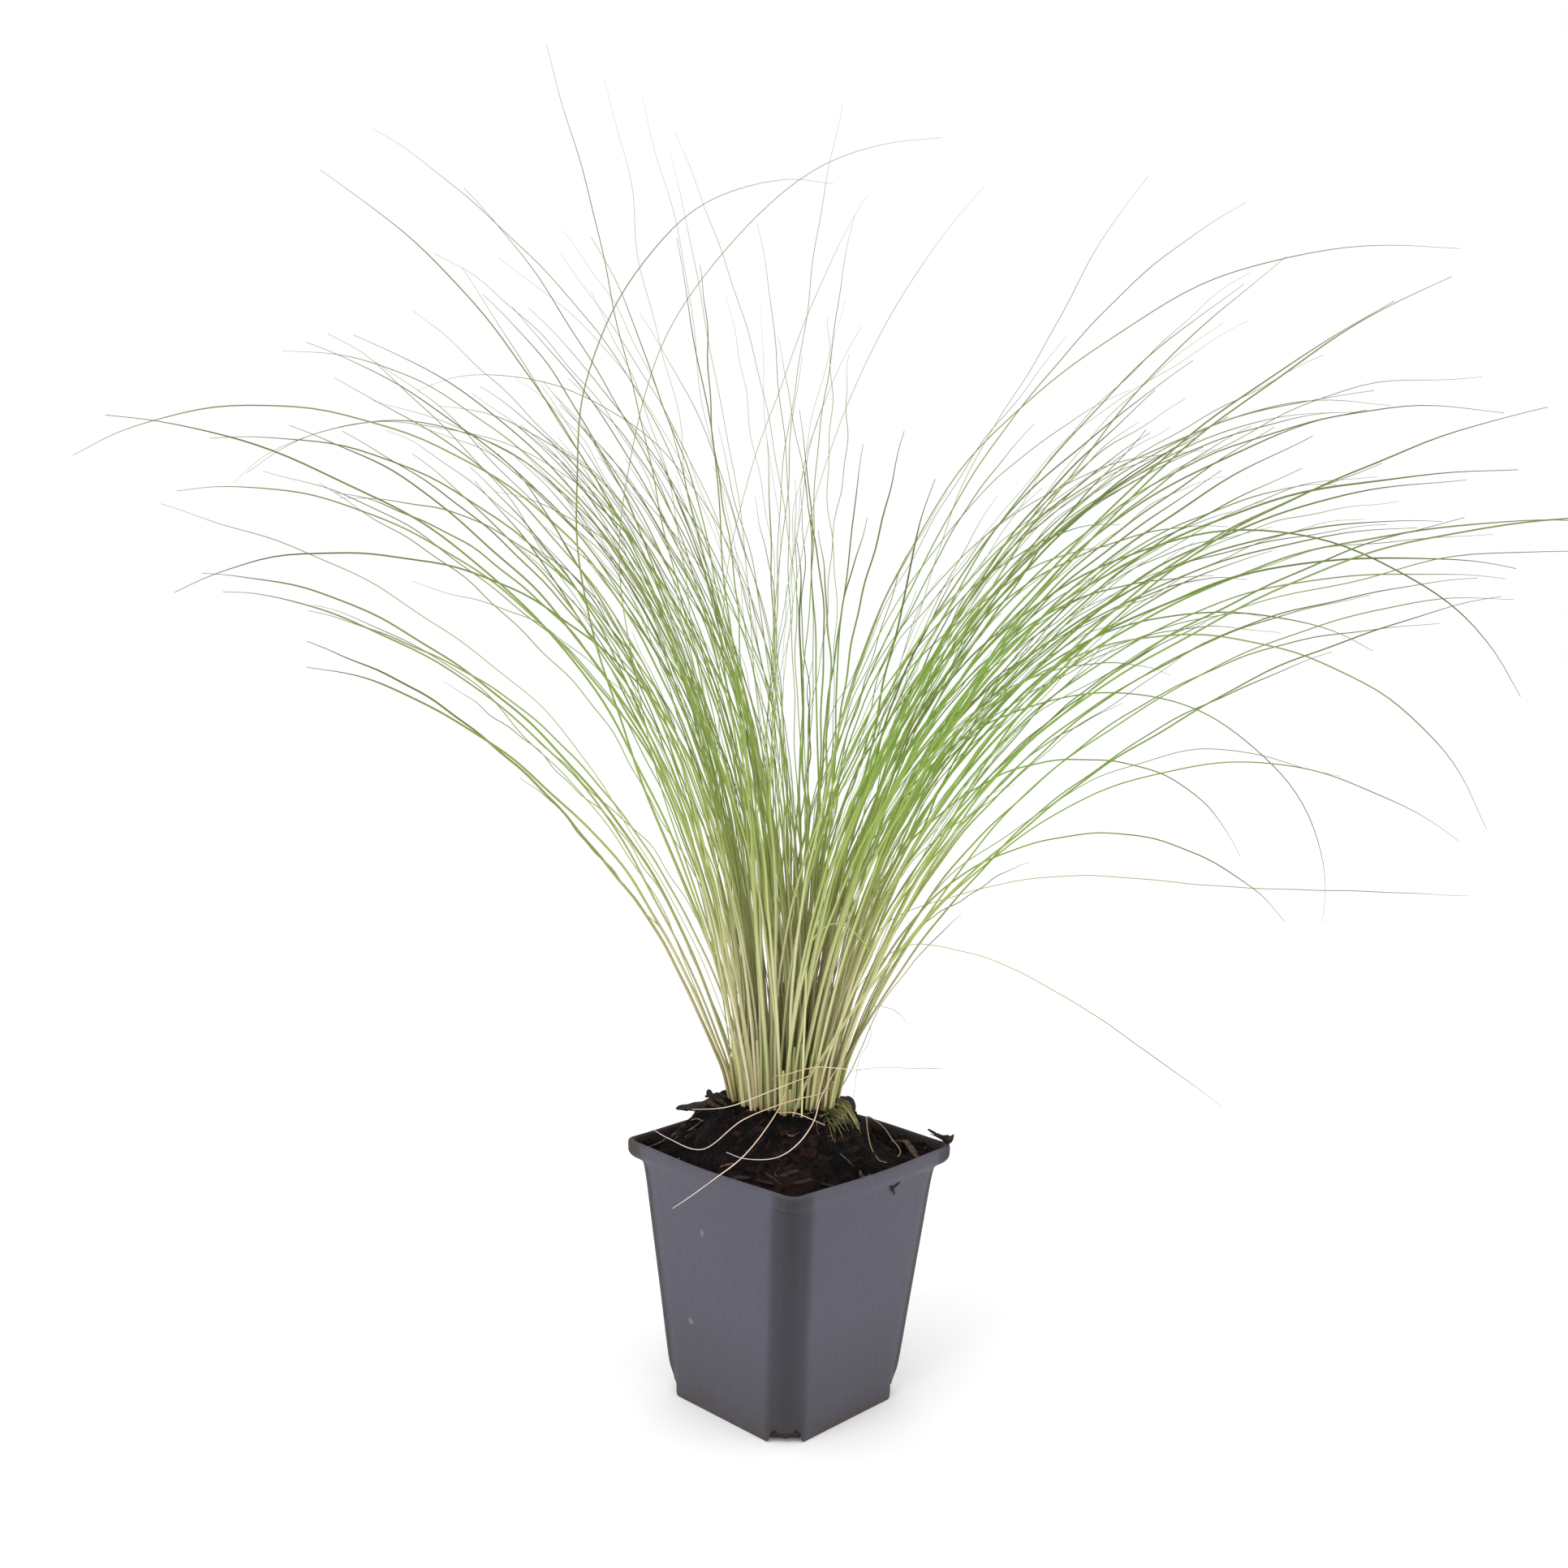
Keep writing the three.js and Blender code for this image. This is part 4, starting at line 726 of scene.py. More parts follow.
@built_once("Soil dust")
def dust_group(group):
    """Soil dust on a surface: a band of Z, none at one height and full at the other, broken up by noise and
    mixed over a colour."""
    given, out = group_sockets(
        group,
        [("Place", "NodeSocketVector", None), ("Color", "NodeSocketColor", None),
         ("Dust", "NodeSocketColor", None), ("Clean at", "NodeSocketFloat", 0.01),
         ("Full at", "NodeSocketFloat", 0.0), ("Amount", "NodeSocketFloat", 0.5)],
        [("Color", "NodeSocketColor"), ("Mask", "NodeSocketFloat")],
    )
    height = put(group, "ShaderNodeSeparateXYZ", {"Vector": given["Place"]}).outputs["Z"]
    band = put(group, "ShaderNodeMapRange", {
        "Value": height, "From Min": given["Clean at"], "From Max": given["Full at"]}).outputs["Result"]
    patches = use(group, mottle_group(), {"Place": given["Place"], "Scale": 260.0, "Contrast": 3.5})["Mask"]
    both = put(group, "ShaderNodeMath", {0: band, 1: patches}, operation="MULTIPLY", use_clamp=True)
    share = put(group, "ShaderNodeMath", {0: both.outputs[0], 1: given["Amount"]}, operation="MULTIPLY")
    group.links.new(mix(group, share.outputs[0], given["Color"], given["Dust"]), out["Color"])
    group.links.new(share.outputs[0], out["Mask"])


@built_once("Patch")
def spot_group(group):
    """A patch round a Centre, level within it and gone at Reach, its edge broken up by noise."""
    given, out = group_sockets(
        group,
        [("Place", "NodeSocketVector", None), ("Centre", "NodeSocketVector", None),
         ("Reach", "NodeSocketFloat", 0.002), ("Raggedness", "NodeSocketFloat", 0.6)],
        [("Mask", "NodeSocketFloat")],
    )
    apart = put(group, "ShaderNodeVectorMath", {0: given["Place"], 1: given["Centre"]}, operation="DISTANCE")
    share = put(group, "ShaderNodeMath", {0: apart.outputs["Value"], 1: given["Reach"]}, operation="DIVIDE")
    ragged = use(group, mottle_group(), {"Place": given["Place"], "Scale": 420.0, "Contrast": 2.5})["Mask"]
    pull = put(group, "ShaderNodeMath", {0: ragged, 1: given["Raggedness"], 2: share.outputs[0]},
               operation="MULTIPLY_ADD")
    mask = put(group, "ShaderNodeMapRange", {
        "Value": pull.outputs[0], "From Min": 1.1, "From Max": 0.6}).outputs["Result"]
    group.links.new(mask, out["Mask"])


class Look:
    """A material in the making: its node tree, its shader, a point's Object place and the colour so far."""

    def __init__(self, name, roughness=0.6, specular=0.5):
        self.material = bpy.data.materials.new(name)
        self.material.use_nodes = True
        self.tree = self.material.node_tree
        self.shader = self.tree.nodes["Principled BSDF"]
        self.shader.inputs["Roughness"].default_value = roughness
        self.shader.inputs["Specular IOR Level"].default_value = specular
        self.place = put(self.tree, "ShaderNodeTexCoord").outputs["Object"]
        self.body = None

    def carried(self, *marks):
        """The numbers that a piece's points carry under these names."""
        return [put(self.tree, "ShaderNodeAttribute", attribute_name=name).outputs["Fac"] for name in marks]

    def between(self, value, low, high, to_low=0.0, to_high=1.0):
        node = put(self.tree, "ShaderNodeMapRange", {
            "Value": value, "From Min": low, "From Max": high, "To Min": to_low, "To Max": to_high})
        return node.outputs["Result"]

    def ramp(self, share, stops):
        """A colour ramp from (place, colour or grey) stops."""
        node = put(self.tree, "ShaderNodeValToRGB", {"Fac": share})
        band = node.color_ramp
        while len(band.elements) < len(stops):
            band.elements.new(1.0)
        for element, (place, value) in zip(band.elements, stops):
            element.position = place
            element.color = (*value, 1.0) if isinstance(value, tuple) else (value, value, value, 1.0)
        return node.outputs["Color"]

    def mix(self, share, low, high, blend="MIX"):
        return mix(self.tree, share, low, high, blend)

    def mottle(self, scale, contrast=2.0, detail=3.0, stretch=(1.0, 1.0, 1.0)):
        """The mask of uneven patches, about 1 / scale metres wide."""
        return use(self.tree, mottle_group(), {
            "Place": self.place, "Stretch": stretch, "Scale": scale, "Detail": detail,
            "Contrast": contrast})["Mask"]

    def patch(self, centre, reach, ragged=0.6):
        """The mask of a patch round a place (u, v, z) of the clump, in millimetres."""
        at = tuple(bowed(turned(np.array([centre], float), HEADING))[0] * MM)
        inputs = {"Place": self.place, "Centre": at, "Reach": reach * MM, "Raggedness": ragged}
        return use(self.tree, spot_group(), inputs)["Mask"]

    def wash(self, color, mask, low, high, amount):
        """A colour over the body: none where the mask is low, and the amount of it where it is high."""
        self.body = self.mix(self.between(mask, low, high, 0.0, amount), self.body, color)

    def bump(self, height, strength, distance):
        inputs = {"Height": height, "Strength": strength, "Distance": distance}
        node = put(self.tree, "ShaderNodeBump", inputs)
        self.tree.links.new(node.outputs["Normal"], self.shader.inputs["Normal"])

    def finished(self):
        self.tree.links.new(self.body, self.shader.inputs["Base Color"])
        return self.material


def pot_plastic(settings):
    """Matt moulded plastic: fine upright marks, a painted shade down each corner's channel that darkens to
    its middle, painted shade on the lip's corners, a few rubbed places, soil dust at the foot and at the rim,
    and painted shade with soil stain down the inside. It reads the marks corner (0 at a channel's edges and 1
    along its middle) and inner."""
    look = Look("pot_plastic", specular=0.3)
    corner, inner = look.carried("corner", "inner")
    fine = look.mottle(1500.0, 1.5, 2.0, (1.0, 1.0, 0.02))
    broad = look.mottle(24.0, 1.2, 2.0, (1.0, 1.0, 0.4))
    height = put(look.tree, "ShaderNodeSeparateXYZ", {"Vector": look.place}).outputs["Z"]
    foot, side = settings.foot_color[:], settings.color[:]
    look.body = look.ramp(look.between(height, 0.0, 0.095), [(0.0, foot), (0.45, side), (1.0, side)])
    look.wash(srgb(96, 92, 112), broad, 0.0, 1.0, 0.14)
    look.wash(srgb(68, 66, 76), fine, 0.0, 1.0, 0.34)
    # Painted shade: each corner channel darkens to its middle, a little less low down, and fades out under
    # the rim.
    shade = look.ramp(corner, [
        (0.0, 1.0), (0.07, 0.88), (0.17, (0.7, 0.7, 0.68)), (0.3, (0.55, 0.55, 0.53)),
        (0.45, (0.46, 0.46, 0.44)), (0.65, (0.41, 0.41, 0.39)), (1.0, (0.38, 0.38, 0.36))])
    below_rim = look.between(height, *BELOW_RIM)
    shade_deeper_up = look.ramp(look.between(height, *CHANNEL_SHADE_DEEPENS), [(0.0, 0.86), (1.0, 1.0)])
    channel_shade_share = look.mix(below_rim, (0.0, 0.0, 0.0), shade_deeper_up)
    shaded = look.mix(1.0, look.body, shade, "MULTIPLY")
    look.body = look.mix(channel_shade_share, look.body, shaded)
    # Painted shade darkens the lip at its corners.
    lip_shade_share = put(look.tree, "ShaderNodeMath", {0: look.between(height, *LIP_SHADE, 0.0, 0.35), 1: corner},
                 operation="MULTIPLY").outputs[0]
    look.body = look.mix(lip_shade_share, look.body, srgb(40, 38, 40))
    for centre, reach in RUBBED:
        look.wash(srgb(160, 158, 168), look.patch(centre, reach, 0.9), 0.0, 1.0, 0.35)
    for clean, full, amount in SOIL_DUST:
        look.body = use(look.tree, dust_group(), {
            "Place": look.place, "Color": look.body, "Dust": srgb(70, 54, 44), "Clean at": clean,
            "Full at": full, "Amount": amount})["Color"]
    look.wash(srgb(62, 55, 40), look.patch(*RIM_GRIME), 0.0, 1.0, 0.85)
    # Painted shade with soil stain: the inside of the pot is darkened to a dark brown.
    look.wash(srgb(36, 28, 26), inner, 0.3, 0.7, 0.94)
    look.tree.links.new(look.between(fine, 0.0, 1.0, 0.46, 0.62), look.shader.inputs["Roughness"])
    look.bump(fine, 0.2, 0.00006)
    return look.finished()


def potting_soil(settings):
    """Moist near-black peat with reddish fibres and a few paler crumbs, redder at the front corner."""
    look = Look("potting_soil", 0.97, 0.12)
    lumps = look.mottle(240.0, 2.2, 5.0)
    fibres = look.mottle(380.0, 5.0, 2.0, (1.0, 0.2, 1.0))
    red = look.mottle(60.0, 4.0, 2.0)
    crumbs = look.mottle(1500.0, 3.0, 3.0)
    look.body = look.ramp(lumps, [(0.15, srgb(5, 4, 4)), (0.6, settings.color[:]), (1.0, srgb(25, 20, 18))])
    reddish = look.mix(look.between(red, 0.4, 1.0), srgb(32, 25, 23), srgb(54, 34, 32))
    look.wash(reddish, fibres, 0.7, 1.0, 0.6)
    look.wash(srgb(74, 60, 54), crumbs, 0.85, 1.0, 0.25)
    look.wash(srgb(66, 42, 38), look.patch(*FRONT_SOIL, 0.9), 0.0, 1.0, 0.24)
    look.bump(look.mix(0.4, lumps, crumbs), 0.9, 0.0012)
    return look.finished()


def peat_fibre():
    """Dark to pale brown fibre."""
    look = Look("peat_fibre", 0.9, 0.3)
    look.body = look.ramp(look.mottle(160.0, 4.0, 1.0), [
        (0.2, srgb(34, 24, 21)), (0.7, srgb(66, 46, 39)), (1.0, srgb(140, 114, 96))])
    return look.finished()


def living_leaf(settings):
    """Straw at the foot, green above, grey-brown at the hair tip; greener on the right lobe; a painted band
    of light low down and a painted shade down one side of each leaf. It reads the marks along (of 400 mm),
    share (of its own length), edge (across it, high where the painted shade falls), tone and green."""
    look = Look("living_leaf", 0.6, 0.25)
    along, share, tone, green = look.carried("along", "share", "tone", "green")
    foot, middle, fresh, tip = (c[:] for c in (
        settings.foot_color, settings.middle_color, settings.fresh_color, settings.tip_color))
    pale = look.ramp(along, [
        (0.0, srgb(188, 164, 126)), (0.04, foot), (0.13, srgb(206, 210, 146)), (0.26, srgb(184, 202, 112)),
        (0.42, middle), (0.7, srgb(146, 162, 90)), (1.0, tip)])
    rich = look.ramp(along, [
        (0.0, srgb(188, 164, 126)), (0.04, foot), (0.13, srgb(198, 204, 132)), (0.26, srgb(162, 190, 86)),
        (0.42, fresh), (0.7, srgb(118, 154, 62)), (1.0, srgb(116, 122, 80))])
    look.body = look.mix(green, pale, rich)
    at_foot = look.ramp(tone, [
        (0.0, srgb(150, 126, 98)), (0.12, srgb(176, 156, 114)), (0.26, srgb(178, 182, 122)),
        (0.42, srgb(188, 198, 136)), (0.6, srgb(210, 210, 146)), (0.8, srgb(224, 216, 162)),
        (1.0, srgb(238, 230, 200))])
    look.wash(at_foot, along, 0.34, 0.06, 0.88)
    look.wash(srgb(114, 122, 56), share, 0.5, 0.76, 0.6)
    look.wash(tip, share, 0.7, 0.98, 0.95)
    sunlit = look.ramp(along, [(0.04, 0.0), (0.09, 0.24), (0.14, 0.2), (0.2, 0.0)])
    look.body = look.mix(sunlit, look.body, srgb(244, 240, 200))
    high = look.ramp(tone, [
        (0.0, srgb(84, 110, 44)), (0.2, srgb(108, 136, 56)), (0.3, srgb(140, 134, 88)),
        (0.45, srgb(124, 162, 66)), (0.8, srgb(172, 186, 106)), (1.0, srgb(222, 216, 160))])
    look.wash(high, along, 0.15, 0.4, 0.28)
    # Painted shade down one side of each leaf, where the mark edge is high.
    edge, = look.carried("edge")
    look.wash(srgb(84, 88, 40), edge, 0.1, 0.9, 0.24)
    look.wash(srgb(124, 134, 72), look.mottle(90.0, 1.8, 2.0), 0.0, 1.0, 0.16)
    return look.finished()


def dry_leaf_skin(settings):
    """Dry straw, paler to the tip, with pinkish lengths."""
    look = Look("dry_straw", 0.55, 0.4)
    share, = look.carried("share")
    pink = look.mottle(70.0, 3.0, 2.0)
    look.body = look.ramp(share, [
        (0.0, srgb(146, 108, 84)), (0.1, srgb(206, 178, 134)), (0.3, settings.dry_color[:]),
        (0.7, srgb(232, 214, 198)), (1.0, srgb(226, 214, 208))])
    look.wash(srgb(196, 142, 122), pink, 0.45, 1.0, 0.5)
    return look.finished()


def sheath_skin():
    """Papery leaf sheath: brown at the soil, straw above, with upright streaks."""
    look = Look("leaf_sheath", 0.6, 0.4)
    share, tone = look.carried("share", "tone")
    streak = look.mottle(900.0, 2.6, 2.0, (1.0, 1.0, 0.05))
    look.body = look.ramp(share, [
        (0.0, srgb(74, 50, 36)), (0.3, srgb(138, 106, 70)), (0.5, srgb(198, 184, 130)),
        (1.0, srgb(214, 210, 164))])
    look.wash(srgb(170, 184, 116), tone, 0.5, 1.0, 0.6)
    look.wash(srgb(122, 94, 64), streak, 0.35, 1.0, 0.3)
    look.bump(streak, 0.4, 0.0002)
    return look.finished()


def rough_bark():
    """Dark bark with paler ridges and a little soil on it."""
    look = Look("rough_bark", 0.9, 0.3)
    ridges = look.mottle(520.0, 3.0, 5.0, (1.0, 0.35, 1.0))
    grain = look.mottle(1800.0, 2.0, 3.0)
    look.body = look.ramp(ridges, [(0.1, srgb(22, 17, 14)), (0.6, srgb(46, 36, 30)), (1.0, srgb(88, 72, 58))])
    look.wash(srgb(38, 28, 24), grain, 0.4, 1.0, 0.5)
    look.bump(look.mix(0.3, ridges, grain), 1.0, 0.0012)
    return look.finished()


def soil_wood():
    """Bits of wood by the mark tint: pale twig, brown shaving, reddish bark, near black and grey fibre."""
    look = Look("soil_wood", 0.9, 0.25)
    tint, = look.carried("tint")
    grain = look.mottle(700.0, 3.0, 4.0)
    look.body = look.ramp(tint, [
        (0.05, srgb(158, 132, 116)), (0.2, srgb(112, 90, 78)), (0.45, srgb(92, 72, 54)),
        (0.6, srgb(52, 42, 36)), (0.8, srgb(54, 36, 33)), (0.9, srgb(34, 30, 26)), (1.0, srgb(104, 102, 98))])
    look.wash(srgb(30, 22, 20), grain, 0.3, 0.8, 0.75)
    look.bump(grain, 0.8, 0.0005)
    return look.finished()


def moss_skin():
    """Olive moss, yellower at the tips of its strands."""
    look = Look("moss_strands", 0.85, 0.3)
    share, = look.carried("share")
    brown = look.mottle(300.0, 3.0, 2.0)
    look.body = look.ramp(share, [
        (0.0, srgb(36, 34, 22)), (0.25, srgb(84, 84, 46)), (0.6, srgb(132, 130, 76)),
        (1.0, srgb(206, 198, 140))])
    look.wash(srgb(92, 82, 46), brown, 0.5, 1.0, 0.6)
    return look.finished()


# ---------- settings ----------
def color_setting(name, description, default):
    return FloatVectorProperty(name=name, description=description, subtype="COLOR", default=default)


class PotSettings(bpy.types.PropertyGroup):
    color: color_setting("Plastic", "Colour of the pot's sides", srgb(77, 76, 89))
    foot_color: color_setting("Plastic at the foot", "Colour of the pot's sides low down", srgb(68, 67, 72))
    fillet: IntProperty(
        name="Rounding", description="How far the moulded edges are rounded", default=3, min=0)


class SoilSettings(bpy.types.PropertyGroup):
    color: color_setting("Peat", "Colour of the moist soil", srgb(12, 9, 8))
    relief: FloatProperty(
        name="Relief", description="Height of the soil's lumps", default=SOIL_RELIEF * MM, min=0.0,
        unit="LENGTH")
    crumbs: IntProperty(name="Crumbs", description="Number of loose crumbs on the soil", default=1300, min=0)
    fibres: IntProperty(name="Fibres", description="Number of loose fibres on the soil", default=80, min=0)


class GrassSettings(bpy.types.PropertyGroup):
    fine_leaves: IntProperty(
        name="Fine leaves", description="Number of hair-fine leaves among the larger ones", default=64, min=0)
    followers: IntProperty(
        name="Followers", description="Most fine leaves beside a long leaf", default=3, min=0)
    half_width: FloatProperty(
        name="Half width", description="Half width of a leaf at its root", default=0.0008, unit="LENGTH")
    tip_width: FloatProperty(
        name="Tip half width", description="Half width of a leaf at its tip", default=0.0003, unit="LENGTH")
    seed: IntProperty(name="Seed", description="Seed of the fine leaves", default=5)
    foot_color: color_setting("Foot", "Colour where the leaves leave the soil", srgb(214, 208, 160))
    middle_color: color_setting("Middle", "Colour half way up the left lobe", srgb(160, 186, 88))
    fresh_color: color_setting("Fresh", "Colour half way up the right lobe", srgb(126, 172, 58))
    tip_color: color_setting("Tip", "Colour of the hair tips", srgb(60, 57, 48))
    dry_color: color_setting("Dry", "Colour of the dry leaves", srgb(222, 196, 170))


class StageSettings(bpy.types.PropertyGroup):
    floor_color: color_setting("Floor", "Colour of the floor", (0.95, 0.95, 0.95))
    floor_glow: FloatProperty(
        name="Floor glow", description="Light of the floor's own, which hides its far edge", default=0.08,
        min=0.0)
    sky: FloatProperty(name="Sky", description="Strength of the light from all round", default=1.0, min=0.0)
    key: FloatProperty(
        name="Key light", description="Power of the large soft light", default=9.0, min=0.0, unit="POWER")


# ---------- the pot ----------
def pot_ring(half, corner, inset=0.0):
    """One turn of the pot's section, as (x, y): along each side the points crowd to its ends by a sine,
    then comes the step back and a quarter round, of the same number of points at every height."""
    face_end, centre, step = corner
    end, middle, radius = half - face_end, half - centre, centre - step - inset
    face = np.sin(np.linspace(-1, 1, SIDE_POINTS) * pi / 2)[:, None] * [0.0, end] + [half - inset, 0.0]
    arc = (1 + np.sin(np.linspace(-1, 1, ROUND_POINTS) * pi / 2)) * pi / 4
    bow = middle + radius * np.stack([np.cos(arc), np.sin(arc)], -1)
    far = np.array([end, half - inset])
    steps = np.linspace(0, 1, STEP_POINTS + 2)[1:-1, None]
    back, on = lerp(face[-1], bow[0], steps), lerp(bow[-1], far, steps)
    quarter = np.vstack([face, back, bow, on])
    turns = [quarter @ np.array([[cos(a), sin(a)], [-sin(a), cos(a)]]) for a in np.arange(4) * pi / 2]
    return np.vstack(turns)


def side_at(z):
    """The half width of the drafted sides at a height."""
    return FOOT_HALF + DRAFT * z


def bowed(points):
    """The thin sides bulge outwards: by a squared cosine along a side, growing smoothly to the rim, and not
    at all in the middle of the pot."""
    grown = BOW * smooth((points[..., 2] - BOW_FROM) / BOW_RUN)
    out = points.copy()
    for i, j in ((0, 1), (1, 0)):
        middle = np.cos(np.clip(points[..., j] / LIP_HALF, -1, 1) * pi / 2) ** 2
        at_side = smooth((np.abs(points[..., i]) - BOW_SIDE) / BOW_EDGE)
        out[..., i] += np.sign(points[..., i]) * grown * middle * at_side
    return out


def pot_section():
    """The pot's key rings, from the foot up its outside, over the lip and down its inside: how many rows
    lead up to each, its height, half width, corner and inset."""
    low_out, high_out = LEDGE_OUT
    return (
        (0, 0.0, side_at(0.0), CORNER_FOOT, 0.0),
        (6, HEEL, side_at(HEEL), CORNER_HEEL, 0.0),
        (8, ANKLE, side_at(ANKLE), CORNER, 0.0),
        (16, SIDE_END, side_at(SIDE_END), CORNER, 0.0),
        (6, LEDGE_LOW, side_at(LEDGE_LOW) + low_out, CORNER, 0.0),
        (4, LEDGE_HIGH, side_at(LEDGE_HIGH) + high_out, CORNER_ROUND, 0.0),
        (5, LIP_LOW, LIP_HALF - LIP_SLOPE, CORNER_ROUND, 0.0),
        (8, LIP_HIGH, LIP_HALF, CORNER_ROUND, 0.0),
        (3, POT_HEIGHT, LIP_TOP_HALF, CORNER_ROUND, 0.0),
        (3, MOUTH_TOP, MOUTH_HALF, CORNER_ROUND, 0.0),
        (8, ROUND_END, side_at(ROUND_END), CORNER_ROUND, WALL),
        (5, CHANNEL_TOP, side_at(CHANNEL_TOP), CORNER, WALL),
        (8, ANKLE, side_at(ANKLE), CORNER, WALL),
        (4, FLOOR, side_at(FLOOR), CORNER_FOOT, WALL),
    )


def between_rings(section):
    """Rings through the key rings, with the rows between two of them evenly spaced."""
    rings = []
    for _, height, *size in section:
        ring = pot_ring(*size)
        rings.append(np.column_stack([ring, np.full(len(ring), height)]))
    rows = [rings[0][None]]
    for low, high, (count, *_) in zip(rings[:-1], rings[1:], section[1:]):
        rows.append(low + (high - low) * (np.arange(1, count + 1) / count)[:, None, None])
    return np.concatenate(rows)


def rounded(rows, passes):
    """Rows with their edges rounded: each pass is a quarter of both neighbours and half of the point,
    along the rows and then round them."""
    for _ in range(passes):
        inner = 0.25 * rows[:-2] + 0.5 * rows[1:-1] + 0.25 * rows[2:]
        rows = np.concatenate([rows[:1], inner, rows[-1:]])
        rows = 0.25 * np.roll(rows, 1, 1) + 0.5 * rows + 0.25 * np.roll(rows, -1, 1)
    return rows


def foot_relief(x, y):
    """How far the underside stands up: bars along both diagonals with sloped flanks, and the drains."""
    along = np.abs(x + y) / np.sqrt(2), np.abs(x - y) / np.sqrt(2)
    rise = np.zeros_like(x)
    for run, side in (along, along[::-1]):
        flank = np.clip((GROOVE["foot"] - side) / (GROOVE["foot"] - GROOVE["top"]), 0, 1)
        begun = np.clip((run - GROOVE["start"]) / GROOVE["ramp"] + 1, 0, 1)
        rise = np.maximum(rise, GROOVE["height"] * flank * begun)
        for place in DRAIN_PLACES:
            within = DRAIN_RADIUS + DRAIN_EDGE / 2 - np.hypot(run - place, side)
            rise = np.maximum(rise, DRAIN_RISE * np.clip(within / DRAIN_EDGE, 0, 1))
    return rise


def pot_surface(passes):
    """The rounded rings of the section, with the underside before them and the floor after them: the foot's
    ring drawn in to the middle and raised by the relief, and the last ring drawn in flat. The mark corner
    is 1 on a diagonal and 0 at a channel's edges, and inner is 1 from the mouth inwards."""
    section = pot_section()
    reached = np.cumsum([count for count, *_ in section])
    side_end, lip_top = (int(reached[i]) for i in (3, 8))
    rows = rounded(between_rings(section), passes)
    outside = rows[:side_end]
    outside[..., 2] = np.maximum(outside[..., 2], foot_relief(outside[..., 0], outside[..., 1]))
    foot, floor = rows[0], rows[-1]
    under = foot[None, :, :2] * np.linspace(1, 0, UNDER_ROWS)[1:-1, None, None]
    under = np.dstack([under, foot_relief(under[..., 0], under[..., 1])])[::-1]
    inner = floor[None] * np.array([1, 1, 0]) * np.array([0.75, 0.5, 0.2])[:, None, None]
    inner[..., 2] = FLOOR + 1.5 * GROOVE["height"]
    rows = np.concatenate([under, rows, inner])
    first, rim = len(under), len(under) + lip_top
    corner, within = np.zeros(rows.shape[:2]), np.zeros(rows.shape[:2])
    off_diagonal = np.abs(np.abs(rows[..., 0]) - np.abs(rows[..., 1]))
    corner[first:rim] = (1.0 - np.clip(off_diagonal / CORNER[0], 0, 1))[first:rim]
    within[rim + 1 :] = 1.0
    points = bowed(np.vstack([rows.reshape(-1, 3), [[0, 0, 0.0], [0, 0, inner[0, 0, 2]]]]))
    marks = {"corner": np.append(corner.ravel(), [0, 0]), "inner": np.append(within.ravel(), [0, 1])}
    return points, closed_faces(*rows.shape[:2]), marks


class FEATHER_OT_pot(bpy.types.Operator):
    """Make the moulded nursery pot"""

    bl_idname = "feather.pot"
    bl_label = "Pot"

    def execute(self, context):
        settings = context.scene.feather_pot
        points, faces, marks = pot_surface(settings.fillet)
        pot = add_piece("nursery_pot", points * MM, faces, pot_plastic(settings), marks)
        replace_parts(pot, "pot")
        return {"FINISHED"}


# ---------- the soil ----------
def soil_relief(points):
    """Lumps of four sizes, in millimetres, at places in millimetres."""
    flat = points * [1.0, 1.0, 0.0]
    first, second, ridges, last = (value_noise(flat, wide, i + 1) for i, (wide, _) in enumerate(LUMPS))
    return sum(high * each for (_, high), each in zip(LUMPS, (first, second, np.abs(ridges), last)))


def soil_top(x, y, relief=SOIL_RELIEF):
    """The soil's surface with its lumps, calmer where it meets the pot's wall."""
    from_side = MOUTH_HALF - np.maximum(np.abs(x), np.abs(y))
    rough = soil_relief(np.stack([x, y, np.zeros_like(x)], -1))
    return soil_height(x, y) + relief * rough * (0.35 + 0.65 * smooth(from_side / 5))


def soil_surface(relief):
    """A skirt of rings down the inside of the pot, then rings at the soil's height, each the outline of the
    mouth drawn in to the middle, closer together at the edge."""
    angle = 2 * pi * np.arange(SOIL_COLUMNS) / SOIL_COLUMNS

    def inside(height, corner):
        ring = pot_ring(side_at(height), corner, WALL + SOIL_GAP)
        turn, reach = np.unwrap(np.arctan2(ring[:, 1], ring[:, 0])), np.hypot(ring[:, 0], ring[:, 1])
        return np.interp(angle, turn, reach, period=2 * pi)

    skirt = []
    for height, corner in SOIL_SKIRT:
        wall = inside(height, corner)
        skirt.append(np.stack([wall * np.cos(angle), wall * np.sin(angle), 0 * angle + height], -1))
    share = np.linspace(1.0, 0.0, SOIL_ROWS + 1)[:-1, None] ** SOIL_CROWDING
    edge = inside(SOIL_EDGE, CORNER_ROUND)
    x, y = share * edge * np.cos(angle), share * edge * np.sin(angle)
    grid = np.concatenate([np.array(skirt), np.stack([x, y, soil_top(x, y, relief)], -1)])
    middle = soil_top(np.zeros(1), np.zeros(1), relief)[0]
    points = np.vstack([grid.reshape(-1, 3), [[0, 0, SOIL_FOOT], [0, 0, middle]]])
    return bowed(points), closed_faces(len(grid), SOIL_COLUMNS)


class FEATHER_OT_soil(bpy.types.Operator):
    """Make the mounded soil"""

    bl_idname = "feather.soil"
    bl_label = "Soil"

    def execute(self, context):
        settings = context.scene.feather_soil
        points, faces = soil_surface(settings.relief / MM)
        soil = add_piece("potting_soil", points * MM, faces, potting_soil(settings))
        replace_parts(soil, "soil")
        return {"FINISHED"}


